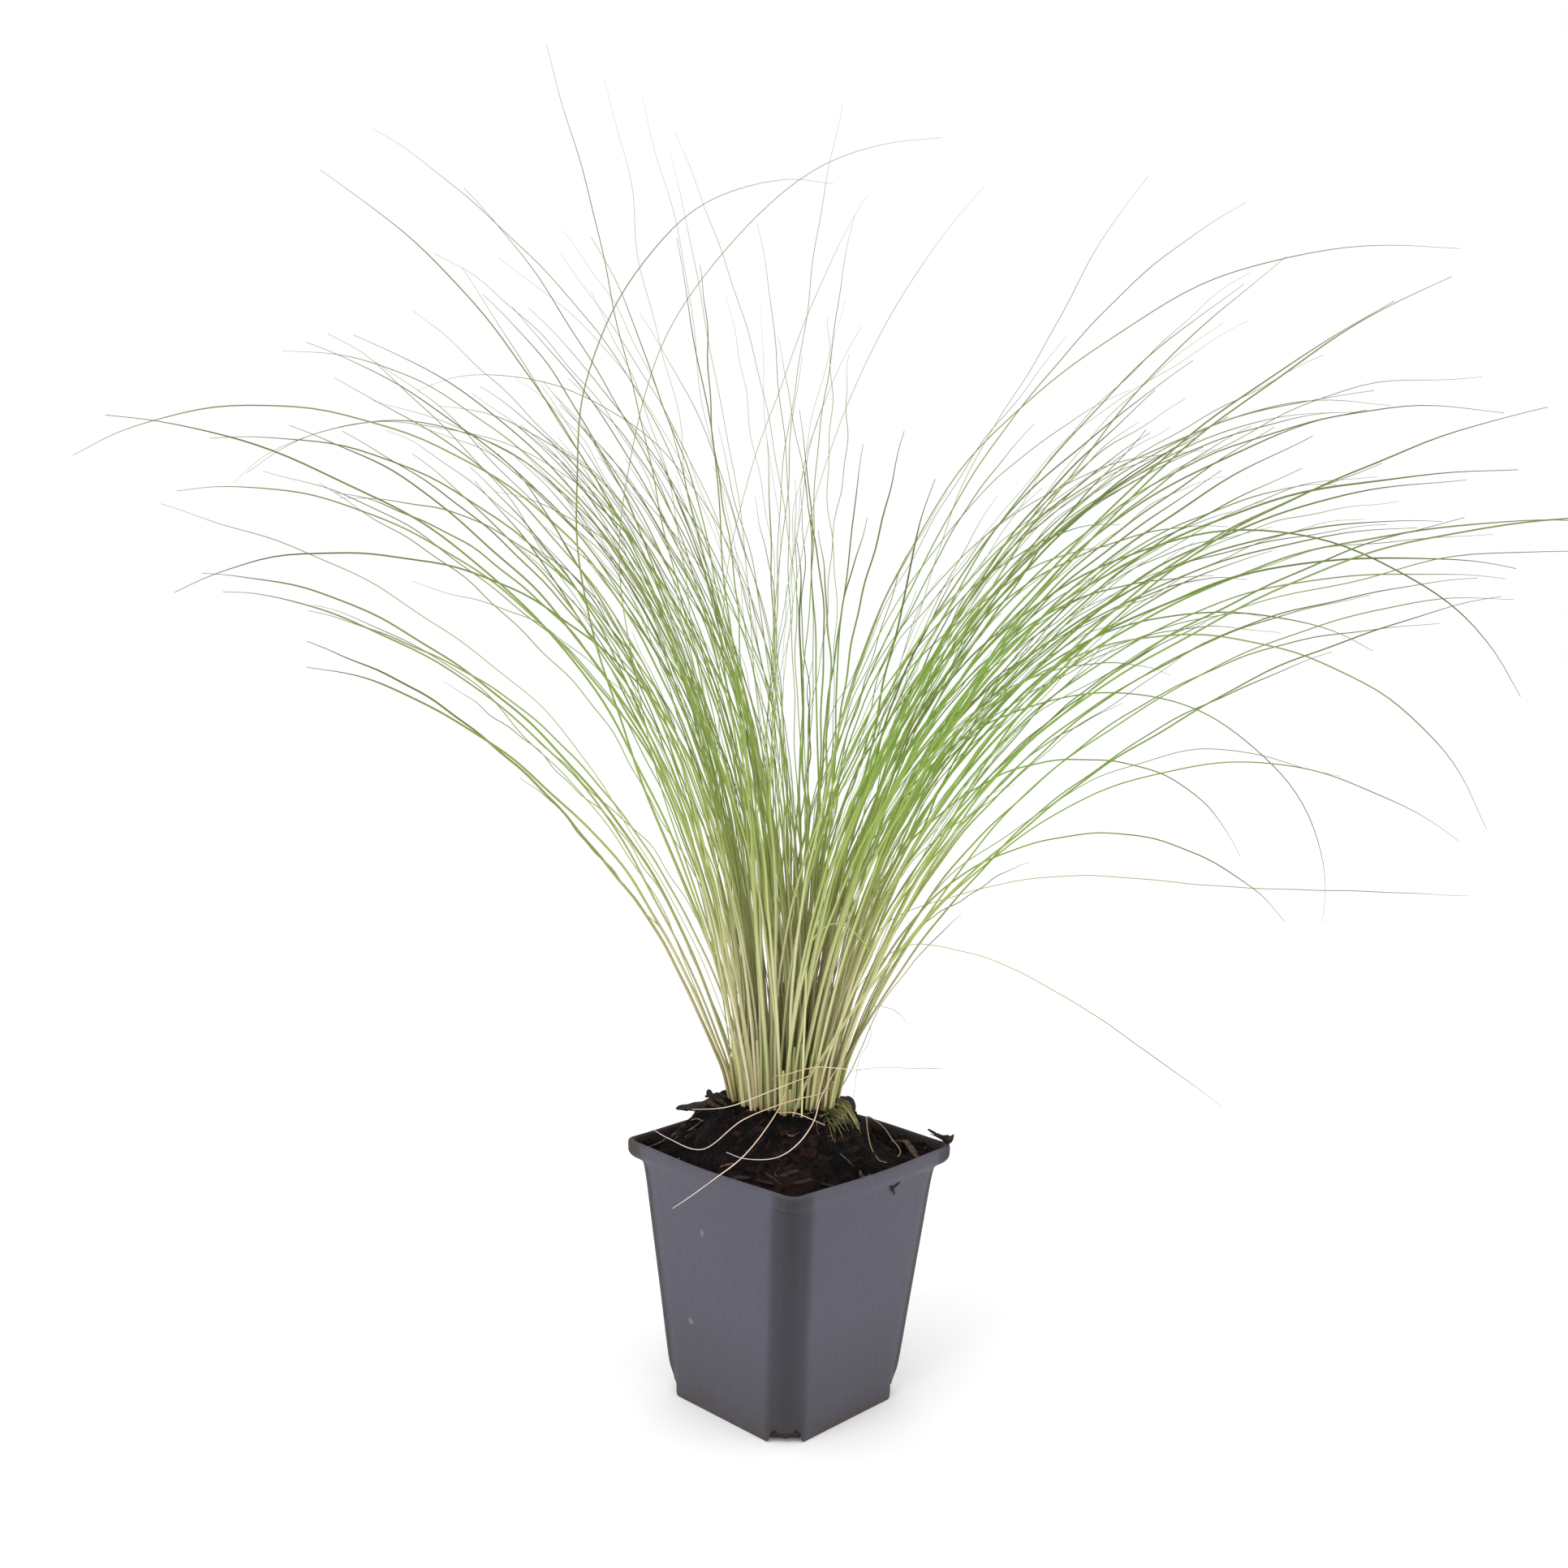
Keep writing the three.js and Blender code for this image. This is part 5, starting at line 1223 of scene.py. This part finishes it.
def on_soil(rng, count, least=0.0):
    """Places spread over the soil, as x, y and the height of its surface, in millimetres."""
    x, y = rng.uniform(-LITTER_REACH, LITTER_REACH, (2, count * 3))
    inside = (np.hypot(x, y) > least) & (np.abs(x) + np.abs(y) < LITTER_CORNER)
    x, y = x[inside][:count], y[inside][:count]
    return np.stack([x, y, soil_top(x, y)], -1)


def crumb_ball():
    """A lump of 12 points and 20 triangles: a pole, two rings of five half a step apart, and a pole."""
    turn = np.arange(5) * 2 * pi / 5
    rings = [
        [0.89 * cos(a + shift), 0.89 * sin(a + shift), z]
        for shift, z in ((0.0, 0.45), (pi / 5, -0.45)) for a in turn]
    i, j = np.arange(5), (np.arange(5) + 1) % 5
    sides = np.vstack([
        np.stack([0 * i, 1 + i, 1 + j], -1), np.stack([1 + i, 6 + i, 1 + j], -1),
        np.stack([1 + j, 6 + i, 6 + j], -1), np.stack([6 + i, 0 * i + 11, 6 + j], -1)])
    return np.array([[0, 0, 1], *rings, [0, 0, -1]]), sides


def lay_crumbs(rng, settings):
    """Each crumb is the ball with its points pushed in and out, stretched along the axes."""
    ball, sides = crumb_ball()
    places = on_soil(rng, settings.crumbs)
    n = len(places)
    size = rng.gamma(CRUMB_SHAPE, CRUMB_SIZE, (n, 1, 1)).clip(CRUMB_LEAST, CRUMB_MOST)
    shape = ball[None] * rng.uniform(0.55, 1.3, (n, 12, 1)) * rng.uniform(0.6, 1.4, (n, 1, 3)) * size
    points = (shape + places[:, None]).reshape(-1, 3)
    faces = [(sides[None] + np.arange(n)[:, None, None] * 12).reshape(-1, 3)]
    add_piece("soil_crumbs", points * MM, faces, potting_soil(settings), smoothed=False)


def lay_fibres(rng, settings):
    """Each fibre is a short arc on the soil: its heading turns evenly, and it thins to both ends."""
    places = on_soil(rng, settings.fibres, FIBRE_FROM)
    n = len(places)
    way = np.linspace(-1, 1, FIBRE_POINTS)
    turn = rng.uniform(0, 2 * pi, n)[:, None]
    bend = rng.normal(0, 0.9, n)[:, None]
    run = rng.uniform(3, 13, n)[:, None] * np.linspace(-0.5, 0.5, FIBRE_POINTS)
    heading = turn + bend * way
    x = places[:, :1] + run * np.cos(heading)
    y = places[:, 1:2] + run * np.sin(heading)
    x, y = (np.clip(p, -FIBRE_REACH, FIBRE_REACH) for p in (x, y))
    z = soil_top(x, y) + 0.25 + rng.uniform(0, 0.9, n)[:, None]
    half = rng.uniform(0.07, 0.18, n)[:, None] * (1 - 0.5 * np.abs(way))
    points, faces, _ = tubes(np.stack([x, y, z], -1), half, np.tile([0.0, 0.0, 1.0], (n, 1)), 3)
    add_piece("peat_fibres", points * MM, faces, peat_fibre())


def lay_wood():
    """Bits of wood lie on the soil or stick to the pot and the bark, thinner at their ends."""
    laid = [(tint, half, thick, [(u, v, float(soil_along(u, v)) + WOOD_LIFT) for u, v in route])
            for tint, half, thick, route in WOOD]
    bits, faces, tints = [], [], []
    for k, (tint, half, thick, route) in enumerate((*laid, *STUCK)):
        bit = {
            "route": route,
            "half": (0.6 * half, half, 0.5 * half),
            "thick": (0.7 * thick, thick, 0.4 * thick),
        }
        points, sides = chip_surface(bit, 14, 18, 0.28 * min(half, 1.2), 40 + k)
        first = sum(len(each) for each in bits)
        bits.append(points)
        faces += [each + first for each in sides]
        tints.append(np.full(len(points), tint))
    points = bowed(turned(np.vstack(bits), HEADING)) * MM
    add_piece("wood_bits", points, faces, soil_wood(), {"tint": np.concatenate(tints)})


class FEATHER_OT_litter(bpy.types.Operator):
    """Scatter crumbs, fibres and bits of wood over the soil"""

    bl_idname = "feather.litter"
    bl_label = "Crumbs, fibres and wood"

    def execute(self, context):
        settings = context.scene.feather_soil
        rng = np.random.default_rng(31)
        lay_crumbs(rng, settings)
        lay_fibres(rng, settings)
        lay_wood()
        return {"FINISHED"}


# ---------- the grass ----------
def slender(paths):
    """How hair-like each leaf is, by how far it is, a little past its middle, from the line of the nearer
    lobe: the lobe's least share in its stream, and its share for that side well away from it."""
    gaps, within = [], []
    for stream, way in zip(STREAMS, (1, -1)):
        line = catmull([(u, 0.0, z) for u, z in stream], 40)[:, ::2]
        apart = paths[:, AWAY_STEPS, None][..., ::2] - line
        gap = np.linalg.norm(apart, axis=-1)
        nearest = np.take_along_axis(apart[..., 0], gap.argmin(-1)[..., None], -1)[..., 0]
        gaps.append(gap.min(-1).mean(-1))
        within.append(way * nearest.mean(-1))
    right = (gaps[1] < gaps[0]).astype(int)
    outer = (np.where(right, within[1], within[0]) <= 0).astype(int)
    shares = np.array(THIN_SHARES)
    away = smooth((np.minimum(*gaps) - AWAY_FROM) / AWAY_RUN)
    return lerp(shares[right, 0], shares[right, 1 + outer], away)


def leaf_mesh(name, paths, length, width, material, marks, wobble, rng, thinned=THINNED):
    """Leaves along their paths: the half width falls evenly from root to tip and quickly at the very tip,
    less still on a leaf away from the streams. Three waves across the path and three square to it, the
    slowest the widest and all growing along it, keep them uneven."""
    fine = refine(paths, 3)
    n, m = fine.shape[:2]
    share = np.linspace(0, 1, m)
    run = share * length[:, None]
    out = fine[:, -1] - fine[:, 0]
    level = unit(np.stack([-out[:, 1], out[:, 0], np.zeros(n)], -1) + 1e-6)
    turns = rng.uniform(TURNS_LEAST, 1.0, (3, n, 1)) * np.array(WAVE_TURNS)[:, None, None]
    starts = rng.uniform(0, 1, (6, n, 1))
    reach = wobble * smooth(share / 0.5) * (length[:, None] / FULL_LENGTH) ** 0.5
    waves = [np.sin(2 * pi * (turns[i // 2] * share + starts[i])) * WAVE_SIZES[i // 2] for i in range(6)]
    aside = np.cross(unit(np.gradient(fine, axis=1)), level[:, None])
    fine = fine + level[:, None] * (reach * (waves[0] + waves[2] + waves[4]))[..., None]
    fine = fine + aside * (reach * (waves[1] + waves[3] + waves[5]) * SECOND_WAVES)[..., None]
    root, tip = width
    half = lerp(root[:, None], tip, 0.5 * share + 0.5 * (run / FULL_LENGTH).clip(0, 1) ** 0.8)
    hair = 1 - thinned * slender(paths)[:, None] * smooth((run - THIN_FROM) / THIN_RUN)
    half = half * (1 - smooth((share - TIP_FROM) / (1 - TIP_FROM)) * TIP_LOSS) * hair
    points, faces, sides = tubes(fine, half, level, 4, LEAF_FLAT)
    values = {
        "along": np.repeat(run / FULL_LENGTH, sides),
        "share": np.repeat(np.broadcast_to(share, (n, m)), sides),
        # edge is high on the side of each leaf that takes a painted shade.
        "edge": np.tile([1.0, 0.0, 0.25, 0.5], n * m),
    }
    for mark, each in marks.items():
        values[mark] = np.repeat(each, m * sides)
    return add_piece(name, placed(points), faces, material, values)


def greenness(paths, rng):
    """1 on the right lobe and about a quarter on the left one, by where a leaf is past its middle."""
    side = smooth((paths[:, 14, 0] + 30) / 80)
    return np.clip(lerp(0.25, 1.0, side) + rng.normal(0, 0.15, len(paths)), 0, 1)


class FEATHER_OT_leaves(bpy.types.Operator):
    """Grow the leaves that stand where the part's tufts stand"""

    bl_idname = "feather.leaves"
    bl_label = "Leaves"

    def execute(self, context):
        settings = context.scene.feather_grass
        rows = grow_leaves()
        rng = np.random.default_rng(settings.seed)
        roots, length, power = root_of(rows[:, 1], rows[:, 2]), rows[:, 7], rows[:, 8]
        paths = leaf_paths(roots, rows[:, 3:5], rows[:, 5:7], length, power)
        paths[:, 0, 2] -= DEEPER
        width = settings.half_width / MM * rng.uniform(0.82, 1.18, len(rows)), settings.tip_width / MM
        tone = np.where(power > 2.4, 0.3, rng.uniform(0, 1, len(rows)))
        marks = {"tone": tone, "green": greenness(paths, rng)}
        leaves = leaf_mesh("leaves", paths, length, width, living_leaf(settings), marks, WAVY, rng)
        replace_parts(leaves, *["tuft_%02d" % (i + 1) for i in range(TUFTS)])
        return {"FINISHED"}


def followers(rng, most):
    """Finer leaves beside the long ones: the root strays 2 mm and the leans by some degrees, and each ends
    sooner, at the lean that the long leaf has by then. A long leaf in the right lobe's stream has the most
    and one in the left's has two fewer; one low at a lobe's edge has one, and one that stands alone none."""
    rows = np.array(LONG_LEAVES, float)
    fall, power = np.abs(rows[:, 4]), rows[:, 7]
    low, high = STREAM_FALL
    stream = (fall > low) & (fall < high) & (power < SHARP_BEND) & (rows[:, 6] > STREAM_LENGTH)
    alone = (power > SHARP_BEND) | (fall > LONE_FALL) | (power < EVEN_BEND)
    right = rows[:, 4] > 0
    rows = np.repeat(rows, np.where(stream, np.where(right, most, most - 2), np.where(alone, 0, 1)), axis=0)
    n = len(rows)
    on_right = rows[:, 4] > 0
    share = rng.uniform(*(np.where(on_right, right, left) for left, right in zip(*FOLLOWER_SHARES)))
    root = rows[:, :2] + rng.normal(0, ROOT_STRAY, (n, 2))
    start = rows[:, 2:4] + rng.normal(0, 1, (n, 2)) * START_STRAY
    fall = (rows[:, 4:6] - rows[:, 2:4]) * (share ** rows[:, 7])[:, None]
    fall = fall + rng.normal(0, 1, (n, 2)) * END_STRAY * share[:, None]
    return root, start, start + fall, rows[:, 6] * share, rows[:, 7]


class FEATHER_OT_fine_leaves(bpy.types.Operator):
    """Grow the hair-fine leaves among the larger ones"""

    bl_idname = "feather.fine_leaves"
    bl_label = "Fine leaves"

    def execute(self, context):
        settings = context.scene.feather_grass
        rng = np.random.default_rng(settings.seed + 1)
        draw = Draws(settings.seed + 97)
        places = tuft_places()
        drawn = [
            draw_blade(draw, *places[i % TUFTS], 1 + i // TUFTS % (PER_TUFT - 1))
            for i in range(settings.fine_leaves)]
        bulk = [np.array([row[k] for row in drawn], float) for k in range(5)]
        beside = followers(rng, settings.followers)
        root, start, end, length, power = (np.concatenate(pair) for pair in zip(bulk, beside))
        paths = leaf_paths(root_of(*root.T), start, end, length, power)
        low, high = (np.array(corner) / MM for corner in (cad_low, cad_high))
        inside = turned(paths.reshape(-1, 3), HEADING).reshape(paths.shape)
        kept = ((inside > low - BOX_MARGIN) & (inside < high + BOX_MARGIN)).all(axis=(1, 2))
        finer = np.repeat([DRAWN_FINER, 1.0], [len(bulk[4]), len(beside[4])])[kept]
        paths, length = paths[kept], length[kept]
        paths[:, 0, 2] -= DEEPER
        n = len(paths)
        half, tip = settings.half_width / MM, settings.tip_width / MM
        width = finer * rng.uniform(*FINE_WIDTHS, n) * half, FINE_TIP * tip
        marks = {"tone": rng.uniform(0, 1, n), "green": greenness(paths, rng)}
        material = bpy.data.materials["living_leaf"]
        leaf_mesh("fine_leaves", paths, length, width, material, marks, FINE_WAVY, rng)
        marks = {"tone": np.array([HAIR_TONE]), "green": np.array([HAIR_TONE])}
        for i, (half, route) in enumerate(HAIRS):
            path = catmull(route, PATH_STEPS)[None]
            run = np.array([np.linalg.norm(np.diff(path[0], axis=0), axis=1).sum()])
            width = np.array([HAIR_WIDTH * half]), HAIR_TIP * tip
            leaf_mesh("hair_%d" % (i + 1), path, run, width, material, marks, HAIR_WAVY, rng, 0.0)
        return {"FINISHED"}


class FEATHER_OT_sheaths(bpy.types.Operator):
    """Make the papery sheaths at the foot of each tuft"""

    bl_idname = "feather.sheaths"
    bl_label = "Sheaths"

    def execute(self, context):
        rng = np.random.default_rng(7)
        spines, half = [], []
        for u, v in np.repeat(tuft_places(), SHEATHS_PER_TUFT, axis=0):
            a = rng.uniform(0, 2 * pi)
            foot, ground, collar = sheath_spine(u + SHEATH_RING * cos(a), v + SHEATH_RING * sin(a))
            top = lerp(ground, collar, rng.uniform(*SHEATH_TALL))
            above = [lerp(ground, top, share) for share in (0.4, 0.8)]
            spines.append([lerp(foot, ground, 0.7), ground, *above, top])
            half.append(rng.uniform(0.75, 1.15) * np.array(SHEATH_HALF))
        fine = refine(np.array(spines), 3)
        n, m = fine.shape[:2]
        keys = np.arange(len(SHEATH_HALF))
        wide = np.stack([np.interp(np.linspace(0, keys[-1], m), keys, row) for row in half])
        points, faces, sides = tubes(fine, wide, np.tile([1.0, 0.0, 0.0], (n, 1)), 6)
        share = np.broadcast_to(np.linspace(0, 1, m), wide.shape)
        marks = {"share": np.repeat(share, sides), "tone": np.repeat(rng.uniform(0, 1, n), m * sides)}
        material = sheath_skin()
        add_piece("leaf_sheaths", placed(points), faces, material, marks)
        return {"FINISHED"}


class FEATHER_OT_dry_leaves(bpy.types.Operator):
    """Lay the dry leaves over the soil and the rim"""

    bl_idname = "feather.dry_leaves"
    bl_label = "Dry leaves"

    def execute(self, context):
        straw = dry_leaf_skin(context.scene.feather_grass)
        living = bpy.data.materials["living_leaf"]
        for i, ((radius, route), (skipped, start)) in enumerate(zip(DRY_LEAVES, CROWN_ENDS)):
            spine = dry_spine(radius, (*start, *route[skipped:]), DRY_FINE_STEPS)[None, 2:]
            if start:
                near = np.linalg.norm(spine[0] - start[0], axis=1).argmin()
                spine = spine[:, near:]
            share = np.linspace(0, 1, spine.shape[1])
            green = i == LIVING
            width = LIVING_WIDTH if green else DRY_WIDTH
            half = width * radius * (1.0 - 0.45 * smooth((share - 0.5) / 0.5))
            out = spine[0, -1] - spine[0, 0]
            level = unit(np.array([[-out[1], out[0], 0.0]]))
            points, faces, sides = tubes(spine, half[None], level, 8, LEAF_FLAT)
            along = np.repeat(share, sides)
            shown = LIVING_SHARE if green else BROWN_SHARE if i in BROWN else 1.0
            marks = {
                "share": along * shown, "along": along * LIVING_SHARE, "tone": along * 0 + 0.7,
                "green": along * 0 + 0.3}
            piece = add_piece("dry_leaf_%d_skin" % (i + 1), placed(points), faces,
                              living if green else straw, marks)
            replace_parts(piece, "dry_leaf_%d" % (i + 1))
        return {"FINISHED"}


# ---------- bark and moss ----------
def chip_surface(chip, columns=28, rows=40, rough=0.5, seed=0):
    """A chip of bark: an oval profile carried along its route, its surface moved out by noise."""
    spine = catmull(chip["route"], rows - 1)
    share = np.linspace(0, 1, rows)
    keys = np.linspace(0, 1, len(chip["half"]))
    half, thick = (np.interp(share, keys, chip[k]) for k in ("half", "thick"))
    fade = np.sqrt(np.clip(np.minimum(share, 1 - share) / 0.06, 0.05, 1))
    along = unit(np.gradient(spine, axis=0))
    out = spine[-1] - spine[0]
    level = unit(np.array([-out[1], out[0], 0.0]))
    across = unit(level - (along @ level)[:, None] * along)
    up = np.cross(along, across)
    angle = 2 * pi * np.arange(columns) / columns
    ring = (half * fade)[:, None, None] * np.cos(angle)[:, None] * across[:, None]
    ring = ring + (thick * fade)[:, None, None] * np.sin(angle)[:, None] * up[:, None]
    points = spine[:, None] + ring
    lumps = value_noise(points, 2.0, seed) + 0.5 * value_noise(points, 0.9, seed + 1)
    points = points + unit(ring) * (rough * lumps * fade[:, None])[..., None]
    hubs = points[0].mean(0), points[-1].mean(0)
    return np.vstack([points.reshape(-1, 3), *hubs]), closed_faces(rows, columns)


def knob_ball(rows=24, columns=32):
    """A ball swollen by a wave and by noise, stretched along its axes and seated in the soil."""
    rise = np.linspace(-1, 1, rows + 2)[1:-1, None] * pi / 2
    turn = 2 * pi * np.arange(columns) / columns
    across = np.cos(rise)
    ball = np.stack([across * np.cos(turn), across * np.sin(turn), np.sin(rise) + 0 * turn], -1)
    ball = np.vstack([ball.reshape(-1, 3), [[0, 0, -1], [0, 0, 1]]])
    swell = KNOB_RADIUS * (1 + 0.06 * np.sin(ball @ [5, 3, 4]) + 0.05 * value_noise(ball * 4, 1.4, 8))
    seat = float(soil_along(KNOB_U, KNOB_V)) + KNOB_RADIUS * KNOB_SEAT
    points = ball * swell[:, None] * KNOB_SHAPE + [KNOB_U + KNOB_SHIFT, KNOB_V, seat]
    return points, closed_faces(rows, columns)


class FEATHER_OT_bark(bpy.types.Operator):
    """Make the bits of bark in the soil and on the rim"""

    bl_idname = "feather.bark"
    bl_label = "Bark"

    def execute(self, context):
        material = rough_bark()
        for node, (points, faces) in (
            ("bark_flake", chip_surface(BARK_FLAKE, rough=0.5, seed=10)),
            ("rim_chip", chip_surface(RIM_CHIP, rough=0.2, seed=8)),
            ("bark_knob", knob_ball()),
        ):
            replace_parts(add_piece(node + "_skin", placed(points), faces, material), node)
        return {"FINISHED"}


def moss_strand_paths(rng):
    """Strands of three kinds: each heads its own way, turns evenly, and rises and falls over the soil by a
    sine. Gives the paths and their half widths."""
    n, t = sum(MOSS_COUNTS), np.linspace(0, 1, MOSS_POINTS)
    kind = np.repeat((0, 1, 2), MOSS_COUNTS)
    middle, spread, heading, stray, curl, run, raised, thick = (
        np.array(rule, float)[kind] for rule in zip(*MOSS_STRANDS))
    place = middle + spread * rng.normal(0, 1, (n, 2))
    way = heading[:, None] + stray[:, None] * rng.normal(0, 1, (n, 1))
    way = way + curl[:, None] * rng.normal(0, 1, (n, 1)) * t
    step = (run * rng.uniform(0.7, 1.3, n))[:, None] / (MOSS_POINTS - 1)
    place = place[:, None] + np.cumsum(np.stack([np.cos(way), np.sin(way)], -1) * step[..., None], axis=1)
    lift = raised[:, None] * rng.uniform(0.2, 1.2, (n, 1))
    lift = lift * (0.6 + np.sin(t * rng.uniform(1.2, 3.0, (n, 1))))
    height = soil_along(place[..., 0], place[..., 1]) + np.maximum(lift, 0.15)
    half = thick[:, None] * rng.uniform(0.6, 1.2, (n, 1)) * (1 - 0.6 * t)
    return np.concatenate([place, height[..., None]], -1), half


def moss_dome(rows=20, columns=40):
    """The cushion under the strands: a round of uneven reach, domed by a quarter circle, with lumps. Gives
    its points, its foot first and its two hubs last."""
    f = np.linspace(1, 0, rows + 1)[:-1, None]
    a = 2 * pi * np.arange(columns) / columns
    wide = MOSS_RADIUS * f * (1 + 0.14 * np.sin(3 * a + 1) + 0.08 * np.sin(5 * a))
    u, v = MOSS_U + wide * np.cos(a), MOSS_V + wide * np.sin(a)
    lumps = 0.35 * value_noise(np.stack([u, v, 0 * u], -1), 1.2, 5)
    dome = MOSS_HEIGHT * np.sqrt(np.clip(1.0 - f * f, 0, 1)) + lumps
    top = np.stack([u, v, soil_along(u, v) - MOSS_SINK + dome * MOSS_FLAT], -1)
    base = top[:1] - [0, 0, MOSS_BASE]
    hubs = [[MOSS_U, MOSS_V, float(row[..., 2].mean())] for row in (base, top[-1])]
    points = np.vstack([np.concatenate([base, top]).reshape(-1, 3), hubs])
    return points, closed_faces(rows + 1, columns)


class FEATHER_OT_moss(bpy.types.Operator):
    """Make the tangle of moss at the crown's edge"""

    bl_idname = "feather.moss"
    bl_label = "Moss"

    def execute(self, context):
        paths, half = moss_strand_paths(np.random.default_rng(17))
        n, m = half.shape
        points, faces, sides = tubes(paths, half, np.tile([0.3, 0.2, 1.0], (n, 1)), 3)
        share = np.repeat(np.broadcast_to(np.linspace(0, 1, m), (n, m)), sides)
        material = moss_skin()
        strands = add_piece("moss_strands", placed(points), faces, material, {"share": share})
        points, faces = moss_dome()
        share = np.full(len(points), 0.04)
        cushion = add_piece("moss_cushion", placed(points), faces, material, {"share": share})
        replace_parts(cushion, "moss_pad")
        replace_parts(strands, "moss_pad")
        return {"FINISHED"}


# ---------- the stage ----------
class FEATHER_OT_stage(bpy.types.Operator):
    """Make the floor, the lights and the camera"""

    bl_idname = "feather.stage"
    bl_label = "Stage"

    def execute(self, context):
        scene = context.scene
        settings = scene.feather_stage
        mesh = bpy.data.meshes.new("studio_floor")
        sides = (-1, -1), (1, -1), (1, 1), (-1, 1)
        corners = [(x * FLOOR_REACH, y * FLOOR_REACH, FLOOR_Z) for x, y in sides]
        mesh.from_pydata(corners, [], [(0, 1, 2, 3)])
        floor = bpy.data.objects.new("studio_floor", mesh)
        scene.collection.objects.link(floor)
        look = Look("studio_floor", 0.9, 0.1)
        sockets = look.shader.inputs
        sockets["Base Color"].default_value = (*settings.floor_color, 1.0)
        sockets["Emission Color"].default_value = WHITE
        sockets["Emission Strength"].default_value = settings.floor_glow
        mesh.materials.append(look.material)
        world = bpy.data.worlds.new("studio")
        world.use_nodes = True
        background = world.node_tree.nodes["Background"]
        background.inputs["Color"].default_value = WHITE
        background.inputs["Strength"].default_value = settings.sky
        scene.world = world
        around = Matrix.Rotation(HEADING, 4, "Z")
        for name, place, size, power in LIGHTS:
            lamp = bpy.data.lights.new(name, "AREA")
            lamp.shape, lamp.size, lamp.energy = "DISK", size, power * settings.key
            light = bpy.data.objects.new(name, lamp)
            scene.collection.objects.link(light)
            at = (around @ Matrix.Translation(place)).translation
            back = (at - Vector(LIT_POINT)).normalized()
            light.matrix_world = Matrix.Translation(at) @ back.to_track_quat("Z", "Y").to_matrix().to_4x4()
        lens = bpy.data.cameras.new("camera")
        lens.sensor_width, lens.lens, lens.clip_start, lens.clip_end = 36.0, 36.0, 0.01, 100.0
        camera = bpy.data.objects.new("camera", lens)
        scene.collection.objects.link(camera)
        camera.matrix_world = (
            around @ Matrix.Translation(CAMERA_PLACE)
            @ Matrix.Rotation(CAMERA_TILT, 4, "X") @ Matrix.Rotation(CAMERA_ROLL, 4, "Z")
        )
        scene.camera = camera
        scene.view_settings.view_transform = "Standard"
        return {"FINISHED"}


class FEATHER_PT_panel(bpy.types.Panel):
    """The plant's pieces, in the 3D view's sidebar"""

    bl_label = "Feather Grass"
    bl_idname = "FEATHER_PT_panel"
    bl_space_type = "VIEW_3D"
    bl_region_type = "UI"
    bl_category = "Feather Grass"

    def draw(self, context):
        scene = context.scene
        for group, pieces in GROUPS.items():
            box = self.layout.box()
            settings = getattr(scene, group)
            for name in settings.__annotations__:
                box.prop(settings, name)
            for piece in pieces:
                box.operator(piece.bl_idname)


GROUPS = {
    "feather_pot": (FEATHER_OT_pot,),
    "feather_soil": (FEATHER_OT_soil, FEATHER_OT_litter),
    "feather_grass": (
        FEATHER_OT_leaves, FEATHER_OT_fine_leaves, FEATHER_OT_sheaths, FEATHER_OT_dry_leaves, FEATHER_OT_bark,
        FEATHER_OT_moss),
    "feather_stage": (FEATHER_OT_stage,),
}
SETTINGS = (PotSettings, SoilSettings, GrassSettings, StageSettings)


def register():
    for kind in SETTINGS:
        bpy.utils.register_class(kind)
    for group, kind in zip(GROUPS, SETTINGS):
        setattr(bpy.types.Scene, group, PointerProperty(type=kind))
    for pieces in GROUPS.values():
        for piece in pieces:
            bpy.utils.register_class(piece)
    bpy.utils.register_class(FEATHER_PT_panel)


def unregister():
    bpy.utils.unregister_class(FEATHER_PT_panel)
    for pieces in GROUPS.values():
        for piece in pieces:
            bpy.utils.unregister_class(piece)
    for group, kind in zip(GROUPS, SETTINGS):
        delattr(bpy.types.Scene, group)
        bpy.utils.unregister_class(kind)


def main():
    register()
    bpy.ops.feather.stage()
    bpy.ops.feather.pot()
    bpy.ops.feather.soil()
    bpy.ops.feather.litter()
    bpy.ops.feather.leaves()
    bpy.ops.feather.fine_leaves()
    bpy.ops.feather.sheaths()
    bpy.ops.feather.dry_leaves()
    bpy.ops.feather.bark()
    bpy.ops.feather.moss()


if __name__ == "__main__":
    main()
